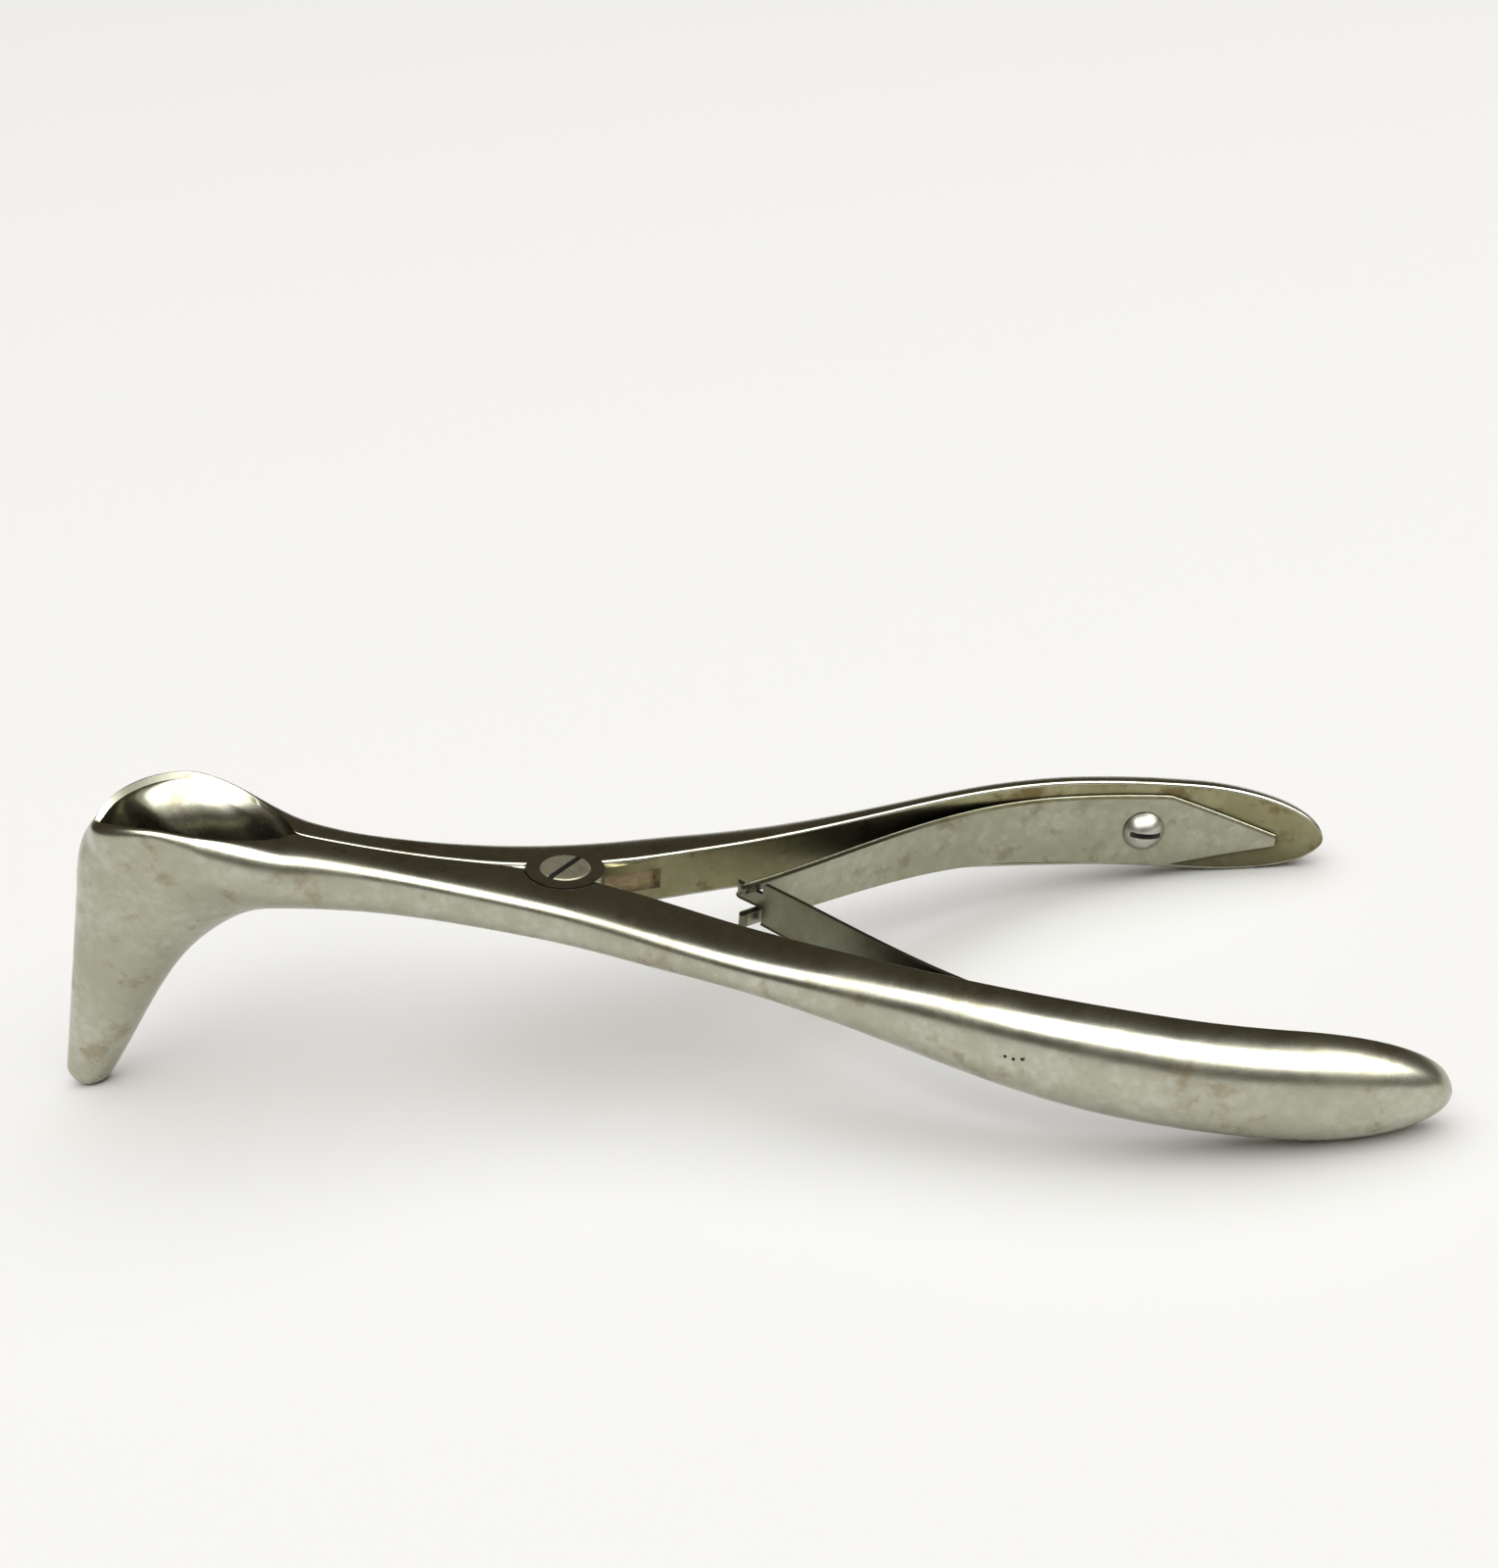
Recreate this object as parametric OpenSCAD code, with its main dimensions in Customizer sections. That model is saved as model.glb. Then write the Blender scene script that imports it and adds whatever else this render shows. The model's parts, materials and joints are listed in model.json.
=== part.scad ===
// Nasal speculum: two sprung handles on a screwed box joint, with a long shell beak that hangs
// down from a funnel mouth. Millimetres. The arms are made around the joint axis, with +X to the
// handles and +Z to the screw head, and the whole is then tipped to stand on its beak and handles.

/* [Beak] */
// depth of the beak's tips below the middle of the handles
beak_drop = 30; // [26:0.5:34]
// distance of the tips ahead of the pivot screw
beak_reach = 58.8; // [56:0.2:64]
// how far the tips stand ahead of the front corner of the mouth
beak_lean = 6.5; // [4:0.1:8]
// width of each blade, front to back, just above its tip
tip_width = 5.4; // [4:0.1:6.5]
// bulge of one blade at the tip
tip_depth = 1.9; // [1.5:0.1:2.6]
// bulge of one blade at the top of the beak
root_depth = 5.8; // [4.8:0.1:6.8]
// thickness of the blades' shell
shell = 0.7; // [0.5:0.05:1]

/* [Mouth] */
// greatest half width of the funnel mouth
mouth_half = 7.8; // [6.6:0.1:8.2]
// height of the mouth's rim above the middle of the handles
mouth_rise = 8.4; // [7.4:0.1:9.2]
// height of the front corner, where the two halves of the rim meet
corner_rise = 4.6; // [3.8:0.1:5.4]
// distance of the highest part of the rim ahead of the pivot screw
mouth_reach = 43; // [41:0.5:46]
// distance of the rear point of the funnel's hollow ahead of the pivot screw
funnel_end = 30.3; // [28.5:0.1:32]
// height there of the two shanks above the middle of the handles
funnel_rise = 5.3; // [4.6:0.1:5.8]

/* [Shank] */
// distance of the slimmest part of the shank ahead of the pivot screw
waist_reach = 24; // [22:0.5:26]
// width of one shank there, which is half of the two
shank_half = 3.75; // [3.3:0.1:4.4]

/* [Joint] */
// height of both arms at the joint
joint_height = 6.3; // [5.6:0.1:7]
// bulge of each arm beside the joint
joint_half = 6.7; // [5.8:0.1:7]
// radius of the round cheeks and of the tongue between them
cheek_radius = 4.4; // [4:0.05:4.5]
// thickness of the tongue
tongue_height = 2.4; // [2:0.1:2.8]
// free space above and below the tongue
tongue_play = 0.05; // [0.03:0.01:0.1]
// free space around the rim of the cheeks and the tongue
rim_play = 0.2; // [0.15:0.05:0.3]
// length of the saw cut that runs out along the far arm, from the joint's axis
cut_length = 11.4; // [9:0.2:14]

/* [Pivot screw] */
// radius of the head
head_radius = 2.85; // [2.6:0.05:3]
// height of the head
head_height = 1; // [0.8:0.05:1.2]
// radius of the shank
pin_radius = 1.6; // [1.3:0.05:1.8]
// free space between the shank and the tongue's bore
pin_play = 0.03; // [0.02:0.01:0.05]
// width of the screwdriver slots
slot_width = 0.6; // [0.4:0.05:0.8]
// depth of the screwdriver slots
slot_depth = 0.6; // [0.4:0.05:0.7]
// turn of the pivot screw's slot from the length of the instrument
slot_turn = 48; // [0:1:90]

/* [Handles] */
// length of each handle along its inner face
handle_length = 96.2; // [88:0.5:105]
// angle between each handle and the middle, behind the joint
spread = 25.2; // [23:0.2:28]
// inward turn of the handle's end past parallel
end_turn = 6.5; // [3:0.5:9]
// share of the length that is straight before the handle bends
bend_start = 0.4; // [0.36:0.01:0.44]
// height of the handle at the palm
palm_height = 11.8; // [11:0.1:13]
// thickness of the handle at the palm
palm_depth = 5.1; // [4.8:0.1:5.8]
// share of the length where the rounded end begins
end_start = 0.83; // [0.8:0.01:0.87]

// thickness of the handle where it bends
bend_depth = 4.2; // [3.8:0.1:4.7]

/* [Springs] */
// thickness of the leaf springs
leaf = 0.9; // [0.7:0.05:1]
// greatest width of the leaf springs
leaf_width = 9.6; // [8.6:0.1:10]
// width of the leaf springs where they cross
leaf_neck = 5.3; // [4.8:0.1:6]
// width of the leaf springs' rear tips
leaf_tip = 1.3; // [1:0.1:2]
// how far the leaf springs lie below the middle of the handles
leaf_sink = 0.5; // [0.2:0.05:0.6]
// distance of the crossing of the springs behind the pivot screw
cross_reach = 20.8; // [19.5:0.1:23]
// distance of the crossing from the middle, towards the far arm
cross_side = 1; // [0:0.1:1.5]
// slope of the springs where they cross
cross_slope = 38; // [36:1:44]
// length of the tongue and prongs past the crossing
cross_over = 3.3; // [2.4:0.1:3.6]
// width of the near spring's tongue
finger_width = 1.9; // [1.6:0.1:2.2]
// height of that tongue above the middle of the handles
finger_rise = 0.4; // [0.3:0.1:0.8]
// free space beside that tongue in the far spring's fork
finger_play = 0.25; // [0.2:0.05:0.4]

/* [Spring screws] */
// radius of the domed heads
dome_radius = 2.55; // [2.2:0.05:2.8]
// height of the domed heads
dome_height = 1.5; // [1.2:0.1:1.8]
// radius of the screws in the handles
stud_radius = 1; // [0.8:0.05:1.2]
// depth of the screws in the handles
stud_depth = 2.6; // [2:0.1:3]
// free space around the spring screws
stud_play = 0.05; // [0.03:0.01:0.1]

/* [Hidden] */
$fa = 4;
$fs = 0.5;

// steps along and around the shells
side_steps = 10;
shoulder_step = side_steps / 2;
tip_rings = 3;
blade_rings = 11;
rim_rings = 7;
funnel_rings = 9;
shank_rings = 6;
handle_steps = 34;
end_steps = 7;
free_steps = 12;

// edges of the beak in side view
tip_round = 0.407 * tip_width;
tip_centre = [-beak_reach + tip_width / 2, -beak_drop + tip_round];
tip_start = 16;
tip_turn = 63;
tip_back = tip_centre + [tip_width / 2 * sin(tip_turn), -tip_round * cos(tip_turn)];
tip_front = tip_centre - [tip_width / 2, 0];
corner = [-beak_reach + beak_lean, corner_rise];
corner_pull = corner - beak_lean * [0.31, 0.185];
edge_top = corner - beak_lean * [0.323, 0.815];
edge_share = 0.8;
section_share = 0.15;
waist_shape = 1.25;
rim_shoulder = 0.1;
shank_shoulder = 0.27;
heel_pull = [-beak_reach + 0.427 * beak_drop, -0.533 * beak_drop];
throat_pull = [-mouth_reach + 0.08 * joint_height, -joint_height / 5];
shank_low = [-waist_reach, -0.492 * joint_height];
blade_share = 0.62;
rim_share = 0.78;
rim_swell = 1.15;
rim_climb = 0.85;
rim_bulge = 0.09 * mouth_half;
rim_fall = 0.7;

// roundness of the cross-sections: 2 is an ellipse, more is squarer
blade_round = 2.1;
shank_round = 2.9;
joint_round = 3.6;
handle_round = 2.3;

// joint
joint_top = joint_height / 2;
tongue_top = tongue_height / 2;
recess_radius = cheek_radius + rim_play;
cut_height = tongue_height + 2 * tongue_play;
cut_depth = 1.7;
far_out = 4 * joint_height;
head_proud = 0.15;
head_bevel = 0.3;
seat_play = 0.03;
swing_start = 4;
relief = 0.1;

// leaves
finger_start = 1.2;
stud_floor = 0.2;

// curves
function mix(a, b, t) = a + (b - a) * t;
function clamp(v) = min(1, max(0, v));
function ease(t) = clamp(t) * clamp(t) * (3 - 2 * clamp(t));
function round_at(a, n) = pow(pow(abs(cos(a)), n) + pow(abs(sin(a)), n), -1 / n) * [cos(a), sin(a)];
function pull_curve(a, b, c, d, t) =
    a * pow(1 - t, 3) + b * 3 * t * pow(1 - t, 2) + c * 3 * pow(t, 2) * (1 - t) + d * pow(t, 3);
function back_edge(t) = pull_curve(tip_back, heel_pull, throat_pull, shank_low, t);
function front_edge(t) =
    t < edge_share
        ? mix(tip_front, edge_top, t / edge_share)
        : let (u = (t - edge_share) / (1 - edge_share))
            mix(mix(edge_top, corner_pull, u), mix(corner_pull, corner, u), u);
function half_width(x) =
    x < -waist_reach
        ? mix(mouth_half, shank_half, ease(pow((x + mouth_reach) / (mouth_reach - waist_reach), waist_shape)))
        : mix(shank_half, joint_half, pow((x + waist_reach) / (waist_reach - swing_start), 1.4));

// A cross-section as [low point, high point, bulge, rim, share of the shoulder, hollow, roundness].
// The low and high points are [x, z] on the middle plane. The outside bulges out from the low point
// and comes back over a shoulder to the rim, which is the half width that stays open at the high
// point. The hollow is the half width of the inside, and nothing where the arm is solid.
function tip_edge(turn) = tip_centre + [tip_width / 2 * sin(turn), -tip_round * cos(turn)];
function tip_section(t) =
    let (back_turn = mix(tip_start, tip_turn, t))
    let (front_turn = mix(tip_start, 90, t))
    let (bulge = mix(1.3 * shell, tip_depth, sin(front_turn)))
    [tip_edge(back_turn), tip_edge(-front_turn), bulge, 0, 0.5, bulge - shell, blade_round];
function blade_section(t) =
    let (bulge = mix(tip_depth, root_depth, t))
    [back_edge(blade_share * t), front_edge(t), bulge, 0, 0.5, bulge - shell, blade_round];
function rim_section(t) =
    let (turn = 90 * t)
    let (x = -mouth_reach - (beak_reach - beak_lean - mouth_reach) * cos(turn))
    let (z = mix(corner_rise, mouth_rise, pow(sin(turn), rim_climb)))
    let (bulge = mix(root_depth, mouth_half, ease(t) + rim_bulge * t * pow(1 - t, 2)))
    let (rim = (mouth_half - shell) * pow(sin(turn), rim_swell))
    let (shoulder = mix(0.5, rim_shoulder, sin(turn)))
    [back_edge(mix(blade_share, rim_share, t)), [x, z], bulge, rim, shoulder, bulge - shell, blade_round];
function funnel_section(t) =
    let (low = back_edge(mix(rim_share, 1, t)))
    let (high = [mix(-mouth_reach, -funnel_end, t), mix(mouth_rise, funnel_rise, mix(ease(t), t, rim_fall))])
    let (half = half_width(mix(high[0], low[0], section_share * t)))
    let (open = (half - shell) * sqrt(1 - pow(t, 3)))
    let (shoulder = mix(rim_shoulder, shank_shoulder, ease(t)))
    [low, high, half, open, shoulder, open, mix(blade_round, shank_round, ease(t))];
function shank_section(t) =
    let (low = [mix(-waist_reach, -swing_start, t), mix(shank_low[1], -joint_top, ease(t))])
    let (high = [mix(-funnel_end, -swing_start, t), mix(funnel_rise, joint_top, 1 - pow(1 - t, 2))])
    let (half = half_width(mix(high[0], low[0], section_share)))
    [low, high, half, 0, mix(shank_shoulder, 0.5, t), 0, mix(shank_round, joint_round, ease(t))];

front_sections = concat(
    [for (i = [0 : tip_rings - 1]) tip_section(i / tip_rings)],
    [for (i = [0 : blade_rings - 1]) blade_section(i / blade_rings)],
    [for (i = [0 : rim_rings - 1]) rim_section(i / rim_rings)],
    [for (i = [0 : funnel_rings - 1]) funnel_section(sin(90 * i / funnel_rings))],
    [for (i = [0 : shank_rings]) shank_section(i / shank_rings)]
);

// points of one section of the near arm: round the outside, and round the inside
function side_points(s, foot, top, widest, bulge, rim) = [
    for (i = [0 : side_steps])
        let (under = i <= shoulder_step)
        let (turn = under ? 90 * i / shoulder_step : 90 + 90 * (i - shoulder_step) / (side_steps - shoulder_step))
        let (c = round_at(turn, s[6]))
        let (along = under ? widest - (widest - foot) * c[0] : widest - (top - widest) * c[0])
        let (out = under ? bulge * c[1] : rim + (bulge - rim) * c[1])
        let (p = mix(s[0], s[1], along))
        [p[0], -out, p[1]]
];
function section_ring(s) =
    let (edge = min(0.25, shell / norm(s[1] - s[0])))
    concat(
        side_points(s, 0, 1, 1 - s[4], s[2], s[3]),
        side_points(s, edge, 1 - edge, 1 - s[4], s[5], s[3])
    );

// handles
function heading(t) = spread - (spread + end_turn) * ease((t - bend_start) / (1 - bend_start));
stations = concat(
    [for (i = [0 : handle_steps]) end_start * i / handle_steps],
    [for (i = [1 : end_steps]) mix(end_start, 1, sin(90 * i / end_steps))]
);
last_station = handle_steps + end_steps;
function station_step(i) = handle_length * (stations[min(i + 1, last_station)] - stations[i]);
function mid_heading(i) = heading((stations[i] + stations[min(i + 1, last_station)]) / 2);
face_line = [for (
    i = 0, x = 0, y = 0;
    i <= last_station;
    x = x + station_step(i) * cos(mid_heading(i)),
    y = y - station_step(i) * sin(mid_heading(i)),
    i = i + 1
) [x, y]];
function face_turn(i) = -heading(stations[i]);
function station_at(t) = len([for (s = stations) if (s <= t) s]) - 1;
seat_first = station_at(0.64);
stud_step = station_at(0.77);
taper_step = station_at(0.8);
seat_last = station_at(0.94);
first_step = station_at(swing_start / handle_length) + 1;
function end_shrink(t) = sqrt(max(0.004, 1 - pow(max(0, t - end_start) / (1 - end_start), 2)));
function handle_height(t) = mix(0.97 * joint_height, palm_height, ease((t - 0.19) / 0.5)) * end_shrink(t);
function handle_depth(t) =
    mix(mix(joint_half, bend_depth, ease(t / 0.48)), palm_depth, ease((t - 0.45) / 0.35))
    * pow(end_shrink(t), 0.6);

function handle_ring(p, turn, height, depth, n) =
    concat(
        [for (i = [0 : side_steps])
            let (c = round_at(180 * i / side_steps, n))
            [p[0] + depth * c[1] * sin(turn), p[1] - depth * c[1] * cos(turn), -height / 2 * c[0]]],
        [for (i = [0 : side_steps])
            [p[0], p[1], -(height / 2 - min(shell, height / 6)) * cos(180 * i / side_steps)]]
    );

handle_rings = concat(
    [handle_ring([0, 0], -spread / 2, joint_height, joint_half, joint_round)],
    [for (i = [first_step : last_station])
        let (t = stations[i])
        handle_ring(face_line[i], face_turn(i), handle_height(t), handle_depth(t),
            mix(joint_round, handle_round, ease(t / 0.3)))]
);

// arms
// two triangles of an end's cap, cut so that neither of them is flat where the inner edge is straight
function cap_pair(a, b, c, d) =
    a < side_steps / 2
        ? [[a, d, b], [b, d, c]]
        : [[a, c, b], [a, d, c]];

module skin(rings) {
    n = 2 * (side_steps + 1);
    last = len(rings) - 1;
    order = concat([for (i = [0 : side_steps]) i], [for (i = [side_steps : -1 : 0]) side_steps + 1 + i]);
    sides = [for (k = [0 : last - 1], j = [0 : n - 1])
        let (a = order[j], b = order[(j + 1) % n])
        each [
            [k * n + a, k * n + b, (k + 1) * n + b],
            [k * n + a, (k + 1) * n + b, (k + 1) * n + a]
        ]];
    front = [for (i = [0 : side_steps - 1]) each cap_pair(i, i + 1, side_steps + 2 + i, side_steps + 1 + i)];
    back = [for (f = front) [f[0] + last * n, f[2] + last * n, f[1] + last * n]];
    polyhedron(points = [for (r = rings) each r], faces = concat(sides, front, back));
}

module arm_blank() {
    skin(concat(front_rings, handle_rings));
}

// a frame on the near handle's inner face, with +Z into the space between the handles
module on_face(i) {
    translate([face_line[i][0], face_line[i][1], -leaf_sink])
        rotate([-90, 0, 0])
            rotate([0, -face_turn(i), 0])
                children();
}

module disc(r, z_low, z_high) {
    translate([0, 0, z_low])
        cylinder(r = r, h = z_high - z_low);
}

// the flat base of a domed head rests on the two ends of the curve that it spans
stud_bend = face_turn(stud_step + 1) - face_turn(stud_step - 1);
stud_span = station_step(stud_step - 1) + station_step(stud_step);
dome_lift = dome_radius * tan(0.6 * dome_radius * stud_bend / stud_span);

module spring_seat() {
    on_face(stud_step)
        translate([0, 0, -stud_depth - stud_floor])
            cylinder(r = stud_radius + stud_play, h = stud_depth + stud_floor + 1);
}

module near_arm_shape() {
    difference() {
        union() {
            difference() {
                arm_blank();
                disc(recess_radius, tongue_top - relief, far_out);
                disc(recess_radius, -far_out, relief - tongue_top);
            }
            disc(cheek_radius, -tongue_top, tongue_top);
        }
        disc(pin_radius + pin_play, -far_out, far_out);
        spring_seat();
    }
}

module far_arm_shape() {
    difference() {
        union() {
            mirror([0, 1, 0])
                arm_blank();
            disc(cheek_radius, -joint_top, joint_top);
        }
        disc(recess_radius, -cut_height / 2, cut_height / 2);
        saw_cut();
        disc(pin_radius + seat_play, -far_out, far_out);
        disc(head_radius + seat_play, joint_top - head_height + head_proud, far_out);
        mirror([0, 1, 0])
            spring_seat();
    }
}

// the slot for the tongue runs on as a shallow cut in the far handle's inner face
module saw_cut() {
    rotate([0, 0, spread])
        translate([0, -cut_depth, -cut_height / 2])
            cube([cut_length, 2 * cut_depth, cut_height]);
}

// screws
module driver_slot(r, turn) {
    rotate([0, 0, turn])
        translate([-r - 1, -slot_width / 2, -slot_depth])
            cube([2 * r + 2, slot_width, slot_depth + 1]);
}

module pivot_screw_shape() {
    top = joint_top + head_proud;
    difference() {
        union() {
            disc(pin_radius, -joint_top, top - head_height);
            disc(head_radius, top - head_height, top - head_bevel);
            translate([0, 0, top - head_bevel])
                cylinder(r1 = head_radius, r2 = head_radius - head_bevel, h = head_bevel);
        }
        translate([0, 0, top])
            driver_slot(head_radius, slot_turn);
    }
}

// a domed head: the cap of a sphere through the rim and the top
module spring_screw_shape() {
    ball = (dome_radius * dome_radius + dome_height * dome_height) / (2 * dome_height);
    base = leaf + dome_lift;
    on_face(stud_step) {
        difference() {
            rotate_extrude()
                intersection() {
                    translate([0, base + dome_height - ball])
                        circle(r = ball);
                    translate([0, base])
                        square([dome_radius, dome_height]);
                }
            translate([0, 0, base + dome_height])
                driver_slot(dome_radius, 0);
        }
        translate([0, 0, -stud_depth])
            cylinder(r = stud_radius, h = stud_depth + base + dome_height / 5);
    }
}

// leaf springs
function face_out(i) = [-sin(face_turn(i)), cos(face_turn(i))];
function leaf_taper(i) =
    i <= taper_step
        ? mix(seat_width, leaf_width, (i - seat_first) / (taper_step - seat_first))
        : mix(leaf_width, leaf_tip, (stations[i] - stations[taper_step]) / (stations[seat_last] - stations[taper_step]));
seat_width = 0.906 * leaf_width;
seat_point = face_line[seat_first];
seat_turn = face_turn(seat_first);

// the free part of a leaf runs from its seat to the crossing, which is off the middle by `side`
function crossing(side) = [cross_reach, side];
function reach(side) = norm(seat_point - crossing(side));
function free_point(t, side) = pull_curve(
    seat_point,
    seat_point - reach(side) / 3 * [cos(seat_turn), sin(seat_turn)],
    crossing(side) + reach(side) / 3 * [cos(cross_slope), -sin(cross_slope)],
    crossing(side),
    t
);
function free_turn(t, side) =
    let (d = free_point(t - 0.01, side) - free_point(t + 0.01, side))
    atan2(d[1], d[0]);
function free_width(t) = leaf_neck + (seat_width - leaf_neck) * pow(1 - t, 1.5);

function leaf_ring(p, turn, width, sink) =
    let (n = leaf * [-sin(turn), cos(turn)])
    [
        [p[0], p[1], -width / 2 - sink],
        [p[0], p[1], width / 2 - sink],
        [p[0] + n[0], p[1] + n[1], width / 2 - sink],
        [p[0] + n[0], p[1] + n[1], -width / 2 - sink]
    ];

module strip(rings) {
    last = len(rings) - 1;
    sides = [for (k = [0 : last - 1], j = [0 : 3])
        let (a = j, b = (j + 1) % 4)
        each [
            [k * 4 + a, (k + 1) * 4 + b, k * 4 + b],
            [k * 4 + a, (k + 1) * 4 + a, (k + 1) * 4 + b]
        ]];
    ends = [
        [0, 1, 2],
        [0, 2, 3],
        [last * 4, last * 4 + 2, last * 4 + 1],
        [last * 4, last * 4 + 3, last * 4 + 2]
    ];
    polyhedron(points = [for (r = rings) each r], faces = concat(sides, ends));
}

// the leaf from its rear tip, over the seat on the handle, to just short of the crossing
module leaf_blank(side) {
    main = 1 - finger_start / reach(side);
    difference() {
        union() {
            strip(concat(
                [for (i = [seat_last : -1 : seat_first + 1])
                    leaf_ring(face_line[i], face_turn(i), leaf_taper(i), leaf_sink)],
                [for (k = [0 : free_steps])
                    let (t = main * k / free_steps)
                    leaf_ring(free_point(t, side), free_turn(t, side), free_width(t), leaf_sink * (1 - t))]
            ));
            children();
        }
        on_face(stud_step)
            translate([0, 0, -1])
                cylinder(r = stud_radius + stud_play, h = leaf + 2);
    }
}

// a finger carries a leaf on past the crossing, and curls at its end
module finger(side, low, high, past) {
    start = 1.4 * finger_start;
    curl = 24;
    steps = 6;
    straight = 3;
    step = (start + past) / steps;
    way = [cos(cross_slope), -sin(cross_slope)];
    line = [for (k = 0, p = crossing(side) + way * start, turn = -cross_slope;
        k <= steps;
        p = p - step * [cos(turn), sin(turn)],
        turn = k >= straight ? turn - curl : turn,
        k = k + 1) [p, turn]];
    strip([for (q = line) leaf_ring(q[0], q[1], high - low, -(high + low) / 2)]);
}

module near_spring_shape() {
    leaf_blank(cross_side)
        finger(cross_side, finger_rise - finger_width / 2, finger_rise + finger_width / 2, cross_over);
}

module far_spring_shape() {
    gap = finger_width / 2 + finger_play;
    leaf_blank(-cross_side) {
        finger(-cross_side, -leaf_neck / 2, finger_rise - gap, cross_over * 0.8);
        finger(-cross_side, finger_rise + gap, leaf_neck / 2, cross_over * 0.8);
    }
}

// standing pose
front_rings = [for (s = front_sections) section_ring(s)];
arm_points = concat([for (r = front_rings) each r], [for (r = handle_rings) each r]);
tip_low = tip_centre - [0, tip_round];
lean = min([for (r = handle_rings)
    if (r[0][0] > handle_length / 2)
        atan2(r[0][2] - tip_low[1], r[0][0] - tip_low[0])]);
function leaned(p) = [p[0] * cos(lean) + p[2] * sin(lean), p[2] * cos(lean) - p[0] * sin(lean)];
lift = -min([for (p = arm_points) leaned(p)[1]]);
back = [for (p = arm_points) leaned(p)[0]];
centring = -(min(back) + max(back)) / 2;

module standing() {
    translate([centring, 0, lift])
        rotate([0, lean, 0])
            children();
}

// nodes
module near_arm() {
    color([0.62, 0.61, 0.56])
        standing()
            near_arm_shape();
}

module far_arm() {
    color([0.62, 0.61, 0.56])
        standing()
            far_arm_shape();
}

module pivot_screw() {
    color([0.7, 0.69, 0.65])
        standing()
            pivot_screw_shape();
}

module near_spring() {
    color([0.55, 0.55, 0.48])
        standing()
            near_spring_shape();
}

module far_spring() {
    color([0.55, 0.55, 0.48])
        standing()
            mirror([0, 1, 0])
                far_spring_shape();
}

module near_spring_screw() {
    color([0.75, 0.74, 0.7])
        standing()
            spring_screw_shape();
}

module far_spring_screw() {
    color([0.75, 0.74, 0.7])
        standing()
            mirror([0, 1, 0])
                spring_screw_shape();
}

near_arm();
far_arm();
pivot_screw();
near_spring();
far_spring();
near_spring_screw();
far_spring_screw();
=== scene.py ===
# %% [markdown]
# # A nasal speculum in tarnished steel
# This instrument opens a nostril. Two sprung handles cross over a screw into a long beak of two thin
# shell blades, and the beak's mouth is a smooth funnel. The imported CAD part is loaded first, because
# it fixes every size and every joint. The scene then dresses it with finer surfaces and real steel.

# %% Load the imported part
import json
import math
from collections import namedtuple

import bmesh
import bpy
import numpy as np
from mathutils import Matrix, Vector


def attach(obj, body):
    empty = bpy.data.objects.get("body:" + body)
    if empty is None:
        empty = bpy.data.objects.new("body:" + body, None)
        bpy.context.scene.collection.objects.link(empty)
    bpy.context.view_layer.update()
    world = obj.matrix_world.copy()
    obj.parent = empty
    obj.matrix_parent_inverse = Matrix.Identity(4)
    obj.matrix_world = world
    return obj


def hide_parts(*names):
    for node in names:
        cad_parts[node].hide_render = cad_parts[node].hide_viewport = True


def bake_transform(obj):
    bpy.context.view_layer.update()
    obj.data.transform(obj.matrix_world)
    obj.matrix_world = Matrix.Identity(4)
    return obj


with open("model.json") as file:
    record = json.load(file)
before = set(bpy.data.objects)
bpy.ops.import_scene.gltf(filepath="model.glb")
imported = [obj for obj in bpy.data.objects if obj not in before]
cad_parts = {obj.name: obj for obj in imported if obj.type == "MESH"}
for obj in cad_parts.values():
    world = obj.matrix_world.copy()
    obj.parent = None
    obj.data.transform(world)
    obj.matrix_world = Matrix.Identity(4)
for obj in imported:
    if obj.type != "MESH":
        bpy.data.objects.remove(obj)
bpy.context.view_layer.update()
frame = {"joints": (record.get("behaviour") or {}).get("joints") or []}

hinge = frame["joints"][0]

# %% [markdown]
# ## Where the instrument stands
# The arms are easiest to describe level, around the axis of their screw, with +X to the handles and
# +Z to the screw's head. In the frame they lean on the beak's tips and the ends of the handles. The
# hinge's own record holds both the axis's place and its lean, so nothing has to be measured again.

# %% The level space of the instrument, and the way from it to the frame
MM = 0.001
lean = math.atan2(-hinge["axis"][0], -hinge["axis"][2])
stand = Matrix.Translation(Vector(hinge["pos_m"])) @ Matrix.Rotation(lean, 4, "Y") @ Matrix.Scale(MM, 4)


def to_frame(points):
    """Level points in millimetres, turned into the frame in metres."""
    m = np.array(stand)
    return np.asarray(points, float) @ m[:3, :3].T + m[:3, 3]


print("the instrument leans by", round(math.degrees(lean), 2), "degrees")

# %% [markdown]
# ## Driving sizes
# These are the instrument's own sizes in millimetres: the drop of the beak, the funnel mouth, the
# slim shanks, the joint and the handles. They also drive the CAD part. Only the heights of the mouth
# and of its corner are fitted a little finer here. SWING_START is how far from the screw, to both
# sides, an arm turns from shank to handle.

# %% Sizes of the beak, mouth, shank, joint and handles
BEAK_DROP, BEAK_REACH, BEAK_LEAN = 30.0, 58.8, 6.5
TIP_WIDTH, TIP_DEPTH, TIP_ROUND, ROOT_DEPTH, SHELL = 5.4, 1.9, 2.2, 5.8, 0.7
MOUTH_HALF, MOUTH_RISE, CORNER_RISE, MOUTH_REACH = 7.8, 8.37, 5.0, 43.0
FUNNEL_END, FUNNEL_RISE, WAIST_REACH, SHANK_HALF = 30.3, 5.3, 24.0, 3.75
JOINT_HEIGHT, JOINT_HALF, CHEEK_RADIUS, RIM_PLAY = 6.3, 6.7, 4.4, 0.2
TONGUE_HEIGHT, TONGUE_PLAY, CUT_LENGTH, CUT_DEPTH = 2.4, 0.05, 11.4, 1.7
HANDLE_LENGTH, SPREAD, END_TURN = 96.2, 25.2, 6.5
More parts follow.
